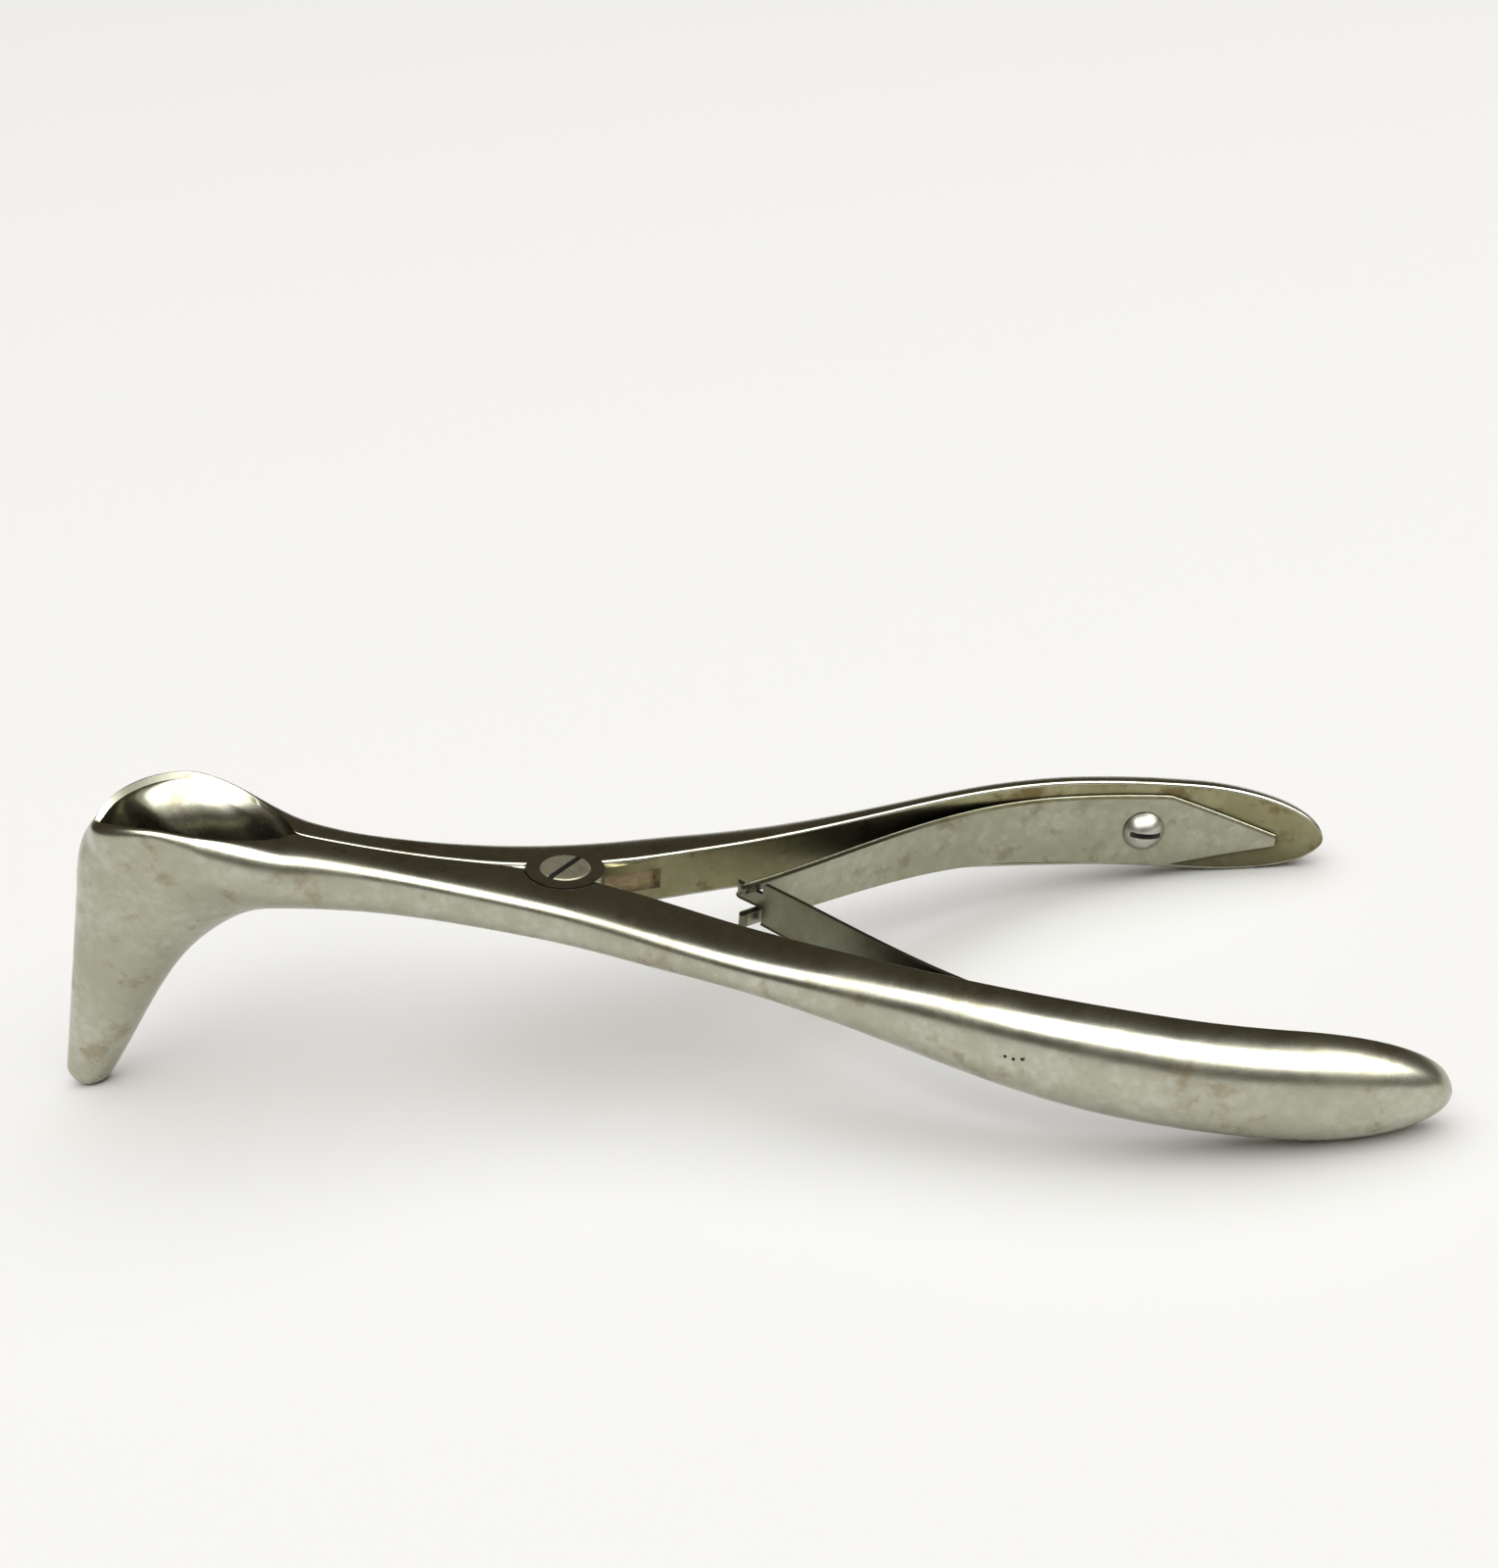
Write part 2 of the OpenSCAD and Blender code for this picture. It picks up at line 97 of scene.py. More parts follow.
BEND_START, PALM_HEIGHT, PALM_DEPTH, BEND_DEPTH, END_START = 0.4, 11.8, 5.1, 4.2, 0.83
JOINT_TOP = JOINT_HEIGHT / 2
SWING_START = 4.0
print("beak reach:", BEAK_REACH, "mm, handle length:", HANDLE_LENGTH, "mm")

# %% [markdown]
# ## Curves that shape the loft
# A loft is a row of cross-sections joined by skin. Two curves in side view carry the sections of the
# beak: the back edge from the tip over the heel to the shank, and the straight front edge with its
# soft corner under the mouth. Smooth easing keeps one part of the arm flowing into the next.

# %% Easing, pulled curves and the edges of the beak


def mix(a, b, t):
    return a + (b - a) * t


def ease(t):
    t = min(1.0, max(0.0, t))
    return t * t * (3 - 2 * t)


def pull_curve(a, b, c, d, t):
    return a * (1 - t) ** 3 + b * 3 * t * (1 - t) ** 2 + c * 3 * t * t * (1 - t) + d * t ** 3


def sin_deg(turn):
    return math.sin(math.radians(turn))


def cos_deg(turn):
    return math.cos(math.radians(turn))


def round_at(turn, n):
    """A point of a rounded square of roundness n: 2 is a circle and more is squarer."""
    c, s = cos_deg(turn), sin_deg(turn)
    r = (abs(c) ** n + abs(s) ** n) ** (-1 / n)
    return r * c, r * s


TIP_START, TIP_TURN = 8.0, 63.0
CORNER_PULL, EDGE_TOP = (1.9, 0.3), (2.1, 5.3)
HEEL_PULL, THROAT_PULL, THROAT_DROP, SHANK_LIFT = (12.8, 14.0), 0.5, JOINT_HEIGHT / 5, 0.05
EDGE_SHARE, BLADE_SHARE, RIM_SHARE = 0.8, 0.62, 0.78
NARROWING, SWELLING = 1.05, 1.4
tip_centre = np.array([-BEAK_REACH + TIP_WIDTH / 2, -BEAK_DROP + TIP_ROUND])


def tip_edge(turn):
    return tip_centre + np.array([TIP_WIDTH / 2 * sin_deg(turn), -TIP_ROUND * cos_deg(turn)])


tip_back, tip_front = tip_edge(TIP_TURN), tip_edge(-90)
corner = np.array([-BEAK_REACH + BEAK_LEAN, CORNER_RISE])
corner_pull, edge_top = corner - CORNER_PULL, corner - EDGE_TOP
heel_pull = np.array([-BEAK_REACH, -BEAK_DROP]) + HEEL_PULL
throat_pull = np.array([-MOUTH_REACH + THROAT_PULL, -THROAT_DROP])
shank_low = np.array([-WAIST_REACH, -JOINT_TOP + SHANK_LIFT])


def back_edge(t):
    return pull_curve(tip_back, heel_pull, throat_pull, shank_low, t)


def front_edge(t):
    if t < EDGE_SHARE:
        return mix(tip_front, edge_top, t / EDGE_SHARE)
    u = (t - EDGE_SHARE) / (1 - EDGE_SHARE)
    return mix(mix(edge_top, corner_pull, u), mix(corner_pull, corner, u), u)


def half_width(x):
    """Half the width of both shanks and the funnel together, at that distance along them."""
    if x < -WAIST_REACH:
        share = (x + MOUTH_REACH) / (MOUTH_REACH - WAIST_REACH)
        return mix(MOUTH_HALF, SHANK_HALF, ease(max(0.0, share) ** NARROWING))
    return mix(SHANK_HALF, JOINT_HALF, ((x + WAIST_REACH) / (WAIST_REACH - SWING_START)) ** SWELLING)


print("tip, corner and waist:", tip_front.round(1), corner.round(1), shank_low.round(1))

# %% [markdown]
# ## Cross-sections from the tip to the joint
# One section is a low and a high point on the middle plane, the bulge between them, the half width
# that stays open at the rim, where its shoulder sits, the half width of the hollow inside, how
# square it is, and the half width of its level top. The blades close at both ends, the mouth stays
# open at its rim, and the hollow runs out in a point while the top above it stays level.

# %% Sections of the tip, blade, rim, funnel and shank
Section = namedtuple("Section", "low high bulge rim shoulder hollow square level")
BLADE_ROUND, CORNER_ROUND, SHANK_ROUND, JOINT_ROUND, HANDLE_ROUND = 2.1, 2.6, 2.6, 3.6, 2.3
MIDDLE, RIM_SHOULDER, SHANK_SHOULDER = 0.5, 0.1, 0.5
TIP_EXTRA, LEVEL_SHARE, SECTION_SLANT = 0.15, 0.35, 0.15
RIM_CLIMB, RIM_SWELL, RIM_OPENING, FALL_SHARE = 0.9, 0.7, 1.15, 0.7
TIP_RINGS, BLADE_RINGS, RIM_RINGS, FUNNEL_RINGS, SHANK_RINGS = 10, 40, 32, 40, 36


def tip_section(t):
    back_turn, front_turn = mix(TIP_START, TIP_TURN, t), mix(TIP_START, 90, t)
    bulge = mix(SHELL + TIP_EXTRA, TIP_DEPTH, sin_deg(front_turn))
    low, high = tip_edge(back_turn), tip_edge(-front_turn)
    return Section(low, high, bulge, 0, MIDDLE, bulge - SHELL, BLADE_ROUND, 0)


def blade_section(t):
    bulge = mix(TIP_DEPTH, ROOT_DEPTH, t)
    square = mix(BLADE_ROUND, CORNER_ROUND, t ** 3)
    low, high = back_edge(BLADE_SHARE * t), front_edge(t)
    return Section(low, high, bulge, 0, MIDDLE, bulge - SHELL, square, 0)


def rim_section(t):
    s, c = sin_deg(90 * t), cos_deg(90 * t)
    x = -MOUTH_REACH - (BEAK_REACH - BEAK_LEAN - MOUTH_REACH) * c
    high = np.array([x, mix(CORNER_RISE, MOUTH_RISE, s ** RIM_CLIMB)])
    bulge = mix(ROOT_DEPTH, MOUTH_HALF, ease(t) + RIM_SWELL * t * (1 - t) ** 2)
    low = back_edge(mix(BLADE_SHARE, RIM_SHARE, t))
    shoulder = mix(MIDDLE, RIM_SHOULDER, s)
    rim = (MOUTH_HALF - SHELL) * s ** RIM_OPENING
    square = mix(CORNER_ROUND, BLADE_ROUND, ease(t))
    return Section(low, high, bulge, rim, shoulder, bulge - SHELL, square, rim)


def funnel_section(t):
    low = back_edge(mix(RIM_SHARE, 1, t))
    fall = mix(ease(t), t, FALL_SHARE)
    high = np.array([mix(-MOUTH_REACH, -FUNNEL_END, t), mix(MOUTH_RISE, FUNNEL_RISE, fall)])
    half = half_width(mix(high[0], low[0], SECTION_SLANT * t))
    open_half = (half - SHELL) * math.sqrt(1 - t ** 3)
    shoulder = mix(RIM_SHOULDER, SHANK_SHOULDER, t)
    level = max(open_half, mix(half - SHELL, LEVEL_SHARE * half, ease(t)))
    square = mix(BLADE_ROUND, SHANK_ROUND, ease(t))
    return Section(low, high, half, open_half, shoulder, open_half, square, level)


def shank_section(t):
    low = np.array([mix(-WAIST_REACH, -SWING_START, t), mix(shank_low[1], -JOINT_TOP, ease(t))])
    rise = mix(FUNNEL_RISE, JOINT_TOP, 1 - (1 - t) ** 2)
    high = np.array([mix(-FUNNEL_END, -SWING_START, t), rise])
    half = half_width(mix(high[0], low[0], SECTION_SLANT))
    shoulder, square = mix(SHANK_SHOULDER, MIDDLE, t), mix(SHANK_ROUND, JOINT_ROUND, ease(t))
    return Section(low, high, half, 0, shoulder, 0, square, LEVEL_SHARE * half * (1 - t))


def sections(make, rings):
    return [make(i / rings) for i in range(rings)]


front_sections = sections(tip_section, TIP_RINGS) + sections(blade_section, BLADE_RINGS)
front_sections += sections(rim_section, RIM_RINGS)
front_sections += [funnel_section(sin_deg(90 * i / FUNNEL_RINGS)) for i in range(FUNNEL_RINGS)]
front_sections += sections(shank_section, SHANK_RINGS) + [shank_section(1)]
print(len(front_sections), "sections from the tip to the joint")

# %% [markdown]
# ## From sections to rings of points
# Each section becomes one closed ring: up the outside and down the inside. The same number of
# points in every ring makes the skin an even grid of quads, which shades smoothly on bright steel.

# %% Rings of points round the near arm, whose bulge is towards -Y
SIDE = 40
EDGE_ROUND, LEVEL_BAND, MOST_EDGE = 0.45, 0.4, 0.25
turns = [90 - 90 * cos_deg(180 * i / SIDE) for i in range(SIDE + 1)]


def rounded(out, r=EDGE_ROUND):
    """How far a filed edge falls away at a distance from the flat mating face."""
    return r - math.sqrt(r * r - (r - out) ** 2) if out < r else 0.0


def side_points(s, foot, top, bulge, rim, level, filed=False):
    """Points up one side of a section: from its foot over the widest place to its level top."""
    widest = 1 - s.shoulder
    size = np.linalg.norm(s.high - s.low)
    points = []
    for turn in turns:
        up, across = round_at(turn, s.square)
        under = turn <= 90
        along = widest - (widest - foot if under else top - widest) * up
        if under:
            out = bulge * across
        else:
            out = level + (bulge - level) * across - (level - rim) * (1 - ease(across / LEVEL_BAND))
        if filed and not under:
            along -= rounded(out) / size
        p = mix(s.low, s.high, along)
        points.append([p[0], -out, p[1]])
    return points


FLARE, FLARE_DEPTH, FLARE_FADE, FLARE_GAIN = 2.5, 4.6, 9.0, 1.7


def flared(p, s):
    """An inside point, drawn in below the rim, so that the mouth opens like a funnel."""
    depth = s.high[1] - p[2]
    bump = (1 - max(0, 1 - depth / FLARE_DEPTH) ** 2) * (1 - ease((depth - FLARE_DEPTH) / FLARE_FADE))
    share = min(1.0, FLARE_GAIN * s.rim / (MOUTH_HALF - SHELL))
    return [p[0], min(0.0, p[1] + FLARE * bump * share), p[2]]


def section_ring(s):
    edge = min(MOST_EDGE, SHELL / np.linalg.norm(s.high - s.low))
    outside = side_points(s, 0, 1, s.bulge, s.rim, s.level, filed=True)
    inside = [flared(p, s) for p in side_points(s, edge, 1 - edge, s.hollow, s.rim, s.rim)]
    return np.array(outside + inside[::-1])


def relaxed(rings, first, last, rounds):
    """The rings with their neighbours' places mixed in, so that no crease shows between two parts."""
    rings = rings.copy()
    for _ in range(rounds):
        middle = (rings[first - 1:last - 1] + 2 * rings[first:last] + rings[first + 1:last + 1]) / 4
        rings[first:last] = middle
    return rings


OUTSIDE, TIP_KEPT = SIDE + 1, 12
CORNER_RING = TIP_RINGS + BLADE_RINGS
FUNNEL_RING = CORNER_RING + RIM_RINGS
SKIN_ROUNDS, CORNER_ROUNDS, FLOW_ROUNDS = 6, 8, 260
TOP_START, TOP_BAND = 24, 10
front_rings = np.array([section_ring(s) for s in front_sections])
front_rings = relaxed(front_rings, TIP_KEPT, len(front_rings) - 1, SKIN_ROUNDS)
front_rings = relaxed(front_rings, CORNER_RING - 7, CORNER_RING + 9, CORNER_ROUNDS)
below_top = np.array([1 - ease((i - TOP_START) / TOP_BAND) for i in range(OUTSIDE)])[None, :, None]
flowing = relaxed(front_rings[:, :OUTSIDE], FUNNEL_RING + 8, FUNNEL_RING + 68, FLOW_ROUNDS)
front_rings[:, :OUTSIDE] = mix(front_rings[:, :OUTSIDE], flowing, below_top)
front_rings[:, :, 1] = np.minimum(front_rings[:, :, 1], 0)
print("front of the arm:", front_rings.shape[0], "rings of", front_rings.shape[1], "points")

# %% [markdown]
# ## The handles
# A handle leaves the joint straight, then bends until its end turns in past parallel. Its inner
# face is flat and its outer face is domed, so a section is half a rounded square that grows from
# the joint's height to the palm's, and shrinks to a round end.

# %% The line of the handle's inner face, and its rings


def heading(t):
    return SPREAD - (SPREAD + END_TURN) * ease((t - BEND_START) / (1 - BEND_START))


HANDLE_STEPS, END_STEPS = 110, 24
END_LEAST, END_DEPTH, LIP_ROUND, NECK_HEIGHT = 0.0025, 0.6, 0.8, JOINT_HEIGHT - 0.2
GROW_START, GROW_BAND, SLIM_BAND = 0.19, 0.5, 0.48
DOMED_START, DOMED_BAND, ROUND_BAND = 0.45, 0.35, 0.3
stations = [END_START * i / HANDLE_STEPS for i in range(HANDLE_STEPS + 1)]
stations += [mix(END_START, 1, sin_deg(90 * i / END_STEPS)) for i in range(1, END_STEPS + 1)]
face_line = [np.array([0.0, 0.0])]
for a, b in zip(stations, stations[1:]):
    turn = heading((a + b) / 2)
    face_line.append(face_line[-1] + HANDLE_LENGTH * (b - a) * np.array([cos_deg(turn), -sin_deg(turn)]))


def face_at(t):
    """The point of the inner face line at a share of its length."""
    return np.array([np.interp(t, stations, [p[k] for p in face_line]) for k in (0, 1)])


def end_shrink(t):
    """The share of its full size that a section near the handle's round end keeps."""
    return math.sqrt(max(END_LEAST, 1 - (max(0, t - END_START) / (1 - END_START)) ** 2))


def handle_ring(p, turn, height, depth, n):
    outside, inside = [], []
    lip = min(SHELL, height / 6)
    for t in turns:
        c = round_at(t, n)
        out = depth * c[1]
        z = -height / 2 * c[0]
        z -= math.copysign(rounded(out, min(EDGE_ROUND, lip * LIP_ROUND)), z)
        outside.append([p[0] + out * sin_deg(turn), p[1] - out * cos_deg(turn), z])
        inside.append([p[0], p[1], -(height / 2 - lip) * cos_deg(t)])
    return outside + inside[::-1]


def handle_section(t):
    height = mix(NECK_HEIGHT, PALM_HEIGHT, ease((t - GROW_START) / GROW_BAND)) * end_shrink(t)
    bend_depth = mix(JOINT_HALF, BEND_DEPTH, ease(t / SLIM_BAND))
    depth = mix(bend_depth, PALM_DEPTH, ease((t - DOMED_START) / DOMED_BAND))
    n = mix(JOINT_ROUND, HANDLE_ROUND, ease(t / ROUND_BAND))
    return handle_ring(face_at(t), -heading(t), height, depth * end_shrink(t) ** END_DEPTH, n)


handle_rings = [handle_ring((0, 0), -SPREAD / 2, JOINT_HEIGHT, JOINT_HALF, JOINT_ROUND)]
handle_rings += [handle_section(t) for t in stations if t * HANDLE_LENGTH > SWING_START]
handle_rings = np.array(handle_rings)
print("handle:", handle_rings.shape[0], "rings")

# %% [markdown]
# ## Skin, cutters and welded pieces
# A closed skin can be cut like a real forging. Cylinders and a box do what the maker's mill and saw
# did at the joint: round recesses, the slot for the tongue and the seat for the screw's head.

# %% Mesh helpers


ROUND_STEPS, SHARP = 96, 32


def mesh_object(name, verts, faces):
    mesh = bpy.data.meshes.new(name)
    mesh.from_pydata([tuple(v) for v in verts], [], [tuple(f) for f in faces])
    bm = bmesh.new()
    bm.from_mesh(mesh)
    bmesh.ops.recalc_face_normals(bm, faces=bm.faces)
    bm.to_mesh(mesh)
    bm.free()
    obj = bpy.data.objects.new(name, mesh)
    bpy.context.scene.collection.objects.link(obj)
    return obj


def skin(name, rings, inner_from):
    """A closed skin over rings; from one ring on, its inner faces are marked for a second finish."""
    count, around = rings.shape[:2]
    faces = []
    for k in range(count - 1):
        for j in range(around):
            b = (j + 1) % around
            faces.append((k * around + j, k * around + b, (k + 1) * around + b, (k + 1) * around + j))
    for k in (0, count - 1):
        for j in range(around // 2 - 1):
            o, w = k * around, k * around + around - 1
            faces.append((o + j, o + j + 1, w - j - 1, w - j))
    obj = mesh_object(name, to_frame(rings.reshape(-1, 3)), faces)
    marks = [int(k >= inner_from and j >= OUTSIDE - 1) for k in range(count - 1) for j in range(around)]
    obj.data.polygons.foreach_set("material_index", marks + [0] * (len(faces) - len(marks)))
    return obj


def lathe(name, profile, steps=ROUND_STEPS, place=Matrix.Identity(4)):
    """A solid turned about Z from (radius, height) points that start and end on the axis."""
    inner = profile[1:-1]
    verts = [(0, 0, profile[0][1])]
    for r, z in inner:
        for i in range(steps):
            turn = 360 * i / steps
            verts.append((r * cos_deg(turn), r * sin_deg(turn), z))
    verts.append((0, 0, profile[-1][1]))
    last, rows = len(verts) - 1, len(inner)
    faces = []
    for i in range(steps):
        n = (i + 1) % steps
        faces.append((0, 1 + n, 1 + i))
        faces.append((last, last - steps + i, last - steps + n))
        for k in range(rows - 1):
            a = 1 + k * steps
            faces.append((a + i, a + n, a + steps + n, a + steps + i))
    verts = [place @ Vector(v) for v in verts]
    return mesh_object(name, to_frame([tuple(v) for v in verts]), faces)


def disc(name, r, low, high):
    return lathe(name, [(0, low), (r, low), (r, high), (0, high)])


def block(name, low, high, place=Matrix.Identity(4)):
    corners = [(x, y, z) for x in (low[0], high[0]) for y in (low[1], high[1])
               for z in (low[2], high[2])]
    faces = [(0, 1, 3, 2), (4, 6, 7, 5), (0, 4, 5, 1), (2, 3, 7, 6), (0, 2, 6, 4), (1, 5, 7, 3)]
    return mesh_object(name, to_frame([tuple(place @ Vector(c)) for c in corners]), faces)


def applied(obj):
    """The object again, with its modifiers worked into its mesh."""
    bpy.context.view_layer.update()
    graph = bpy.context.evaluated_depsgraph_get()
    mesh = bpy.data.meshes.new_from_object(obj.evaluated_get(graph))
    obj.modifiers.clear()
    obj.data = mesh
    return obj


def carve(obj, tools, operation="DIFFERENCE"):
    """Cuts the tools from obj, or joins them to it, and throws the tools away."""
    for tool in tools:
        m = obj.modifiers.new("carve", "BOOLEAN")
        m.operation, m.object, m.solver = operation, tool, "MANIFOLD"
        applied(obj)
        bpy.data.objects.remove(tool)
    return obj


def shade(obj, sharp=SHARP):
    """Smooth shading that keeps real edges crisp."""
    obj.data.shade_smooth()
    obj.data.set_sharp_from_angle(angle=math.radians(sharp))
    return obj


def soften(obj, width):
    """Rounds every sharp edge, as filing and polishing do."""
    m = obj.modifiers.new("soften", "BEVEL")
    m.width, m.segments = width * MM, 2
    m.limit_method, m.angle_limit = "ANGLE", math.radians(SHARP)
    m.use_clamp_overlap = True
    return applied(obj)


def mark(obj, index, inside, place=Matrix.Identity(4)):
    """Gives a further finish to the faces whose middle is inside, told in the level space at a place."""
    to_level = (stand @ place).inverted()
    count = 0
    for face in obj.data.polygons:
        if inside(to_level @ face.center):
            face.material_index = index
            count += 1
    print(obj.name, "has", count, "faces of finish", index)


# %% [markdown]
# ## The two arms
# Both arms are one shape and its mirror image as far as the joint. There the near arm keeps a thin
# round tongue, and the far arm keeps two round cheeks with a slot between them. A shallow saw cut
# runs out of the slot along the far handle's inner face.

# %% Near and far arm
THROUGH = 30.0
RECESS = CHEEK_RADIUS + RIM_PLAY
CUT = TONGUE_HEIGHT / 2 + TONGUE_PLAY
HEAD_RADIUS, HEAD_HEIGHT, HEAD_PROUD, SEAT_PLAY = 2.85, 1.0, 0.15, 0.03
PIN_RADIUS, PIN_PLAY, RELIEF = 1.6, 0.04, 0.1
JOINT_BAND, JOINT_ROUNDS = 14, 40
arm_rings = np.concatenate([front_rings, handle_rings])
joint_ring = len(front_rings)
arm_rings[:, :OUTSIDE] = relaxed(
    arm_rings[:, :OUTSIDE], joint_ring - JOINT_BAND, joint_ring + JOINT_BAND, JOINT_ROUNDS)


def mirrored(rings):
    return rings * np.array([1, -1, 1])


near_arm = skin("near_steel_arm", arm_rings, joint_ring)
carve(near_arm, [
    disc("upper recess", RECESS, TONGUE_HEIGHT / 2 - RELIEF, THROUGH),
    disc("lower recess", RECESS, -THROUGH, RELIEF - TONGUE_HEIGHT / 2),
])
carve(near_arm, [disc("tongue", CHEEK_RADIUS, -TONGUE_HEIGHT / 2, TONGUE_HEIGHT / 2)], "UNION")
carve(near_arm, [disc("pin bore", PIN_RADIUS + PIN_PLAY, -THROUGH, THROUGH)])
far_arm = skin("far_steel_arm", mirrored(arm_rings), joint_ring)
carve(far_arm, [disc("cheeks", CHEEK_RADIUS, -JOINT_TOP, JOINT_TOP)], "UNION")
saw_way = Matrix.Rotation(math.radians(SPREAD), 4, "Z")
carve(far_arm, [
    disc("tongue slot", RECESS, -CUT, CUT),
    block("saw cut", (0, -CUT_DEPTH, -CUT), (CUT_LENGTH, CUT_DEPTH, CUT), saw_way),
    disc("head seat", HEAD_RADIUS + SEAT_PLAY, JOINT_TOP - HEAD_HEIGHT + HEAD_PROUD, THROUGH),
    disc("pin bore", PIN_RADIUS + SEAT_PLAY, -THROUGH, THROUGH),
])
print("arms cut:", len(near_arm.data.vertices), "and", len(far_arm.data.vertices), "points")

# %% [markdown]
# ## Old marks on the forgings, and painted shade
# Three small pits stay open on the near handle. The pits and the gap round the tongue get painted
# shade, and the saw cut gets a brown stain that is darkened as painted shade. So their faces are
# picked out by place and get a finish of their own.

# %% Pits, and the faces painted with shade and a brown stain
PITS = ((46.9, -26.45, 0.1), (47.7, -26.75, 0.05), (48.5, -27.05, 0.3))
PIT_RADIUS, PIT_SKIN, PIT_STEPS, PIT_TURN = 0.2, (0.93, 1.01), 12, 20
SHADE_AND_STAIN = 2
HAIR, GAP_HAIR, GAP_REACH, STAIN_END = 0.01, 0.02, 0.05, 3.0


def in_joint_gap(p):
    return math.hypot(p.x, p.y) < RECESS + GAP_REACH and abs(p.z) > CUT + GAP_HAIR


def in_saw_cut(p):
    q = saw_way.inverted() @ p
    within = abs(q.y) < CUT_DEPTH + HAIR and abs(q.z) < CUT + HAIR
    return within and CHEEK_RADIUS < q.x < CUT_LENGTH - STAIN_END


def in_pit(p):
    nearest = min((p - Vector(at)).length for at in PITS)
    return PIT_SKIN[0] < nearest / PIT_RADIUS < PIT_SKIN[1]


ball = [(PIT_RADIUS * sin_deg(k), -PIT_RADIUS * cos_deg(k)) for k in range(0, 181, PIT_TURN)]
carve(near_arm, [lathe("pit", ball, PIT_STEPS, Matrix.Translation(at)) for at in PITS])
# Index 2: painted shade in the pits and the tongue gap; brown stain and painted shade in the saw cut
for arm, place_of_shade_and_stain in ((near_arm, in_pit), (near_arm, in_joint_gap), (far_arm, in_saw_cut)):
    mark(arm, SHADE_AND_STAIN, place_of_shade_and_stain)
for arm in (near_arm, far_arm):
    shade(arm)
    print(arm.name, len(arm.data.polygons), "faces")

# %% [markdown]
# ## The screws
# The pivot screw has a flat slotted head that sits almost flush in its seat. The two spring screws
# have low domed heads. Each is turned as a lathe would, slotted with a saw and lightly softened.

# %% Pivot screw and spring screws
SLOT_WIDTH, SLOT_DEPTH, SLOT_TURN = 0.7, 0.7, 62
HEAD_BEVEL, SOFT_EDGE = 0.16, 0.06
DOME_RADIUS, DOME_HEIGHT, STUD_RADIUS, STUD_DEPTH, STUD_AT = 2.55, 1.5, 1, 1, 0.77
LEAF, LEAF_SINK = 0.9, 0.5
head_top = JOINT_TOP + HEAD_PROUD
pivot_screw = lathe("slotted_pivot_screw", [
    (0, -JOINT_TOP), (PIN_RADIUS, -JOINT_TOP), (PIN_RADIUS, head_top - HEAD_HEIGHT),
    (HEAD_RADIUS, head_top - HEAD_HEIGHT), (HEAD_RADIUS, head_top - HEAD_BEVEL),
    (HEAD_RADIUS - HEAD_BEVEL, head_top), (0, head_top)])


def cut_slot(screw, r, top, turn, place=Matrix.Identity(4)):
    """Saws a slot, softens its edges, and marks its inside for the near-black painted shade."""
    way = place @ Matrix.Rotation(math.radians(turn), 4, "Z")
    half, floor = SLOT_WIDTH / 2, top - SLOT_DEPTH
    carve(screw, [block("slot", (-r - 1, -half, floor), (r + 1, half, top + 1), way)])
    soften(screw, SOFT_EDGE)

    def in_slot(p):
        return abs(p.y) < half + GAP_HAIR and floor - GAP_HAIR < p.z < top - SOFT_EDGE / 2

    # The slot's inside gets painted shade: the near-black recess finish
    mark(screw, 1, in_slot, way)
    return shade(screw)


cut_slot(pivot_screw, HEAD_RADIUS, head_top, SLOT_TURN)


def on_face(t, side):
    """A place on the inner face at a share of its length, with +Z into the gap between the handles."""
    p = face_at(t)
    turn = Matrix.Rotation(math.radians(-90), 4, "X") @ Matrix.Rotation(math.radians(heading(t)), 4, "Y")
    place = Matrix.Translation((p[0], p[1], -LEAF_SINK)) @ turn
    return place if side < 0 else Matrix.Scale(-1, 4, (0, 1, 0)) @ place


curve = (DOME_RADIUS ** 2 + DOME_HEIGHT ** 2) / (2 * DOME_HEIGHT)
dome = [(math.sqrt(max(0, curve ** 2 - (curve - DOME_HEIGHT + h) ** 2)), LEAF + h)
        for h in np.linspace(0, DOME_HEIGHT, 14)]


def spring_screw(name, side):
    place = on_face(STUD_AT, side)
    stud = [(0, -STUD_DEPTH), (STUD_RADIUS, -STUD_DEPTH), (STUD_RADIUS, LEAF)]
    screw = lathe(name, stud + dome[:-1] + [(0, LEAF + DOME_HEIGHT)], place=place)
    return cut_slot(screw, DOME_RADIUS, LEAF + DOME_HEIGHT, 0, place)


near_spring_screw = spring_screw("near_domed_screw", -1)
far_spring_screw = spring_screw("far_domed_screw", 1)

# %% [markdown]
# ## The leaf springs
# Each leaf is screwed to the inside of its own handle. It tapers to a narrow rear tip, bows away
# from the handle in front of the screw, and crosses the other leaf behind the joint. The near
# leaf's end is a narrow finger that passes between the two prongs of the far leaf.

# %% Path and width of a leaf
LEAF_WIDTH, LEAF_NECK, LEAF_TIP, SEAT_WIDTH = 9.6, 5.3, 1.3, 8.7
CROSS_REACH, CROSS_SIDE, CROSS_SLOPE, CROSS_OVER = 20.8, 1.0, 38.0, 3.3
FINGER_WIDTH, FINGER_RISE, FINGER_PLAY = 1.9, 0.4, 0.25
SEAT_AT, TAPER_AT, LEAF_END = 0.64, 0.8, 0.94
SEAT_ROWS, FREE_ROWS, CURL_ROWS = 40, 60, 24
CURL, NECKING, NUDGE = 72, 1.5, 0.01


def leaf_taper(t):
    if t <= TAPER_AT:
        return mix(SEAT_WIDTH, LEAF_WIDTH, (t - SEAT_AT) / (TAPER_AT - SEAT_AT))
    return mix(LEAF_WIDTH, LEAF_TIP, (t - TAPER_AT) / (LEAF_END - TAPER_AT))


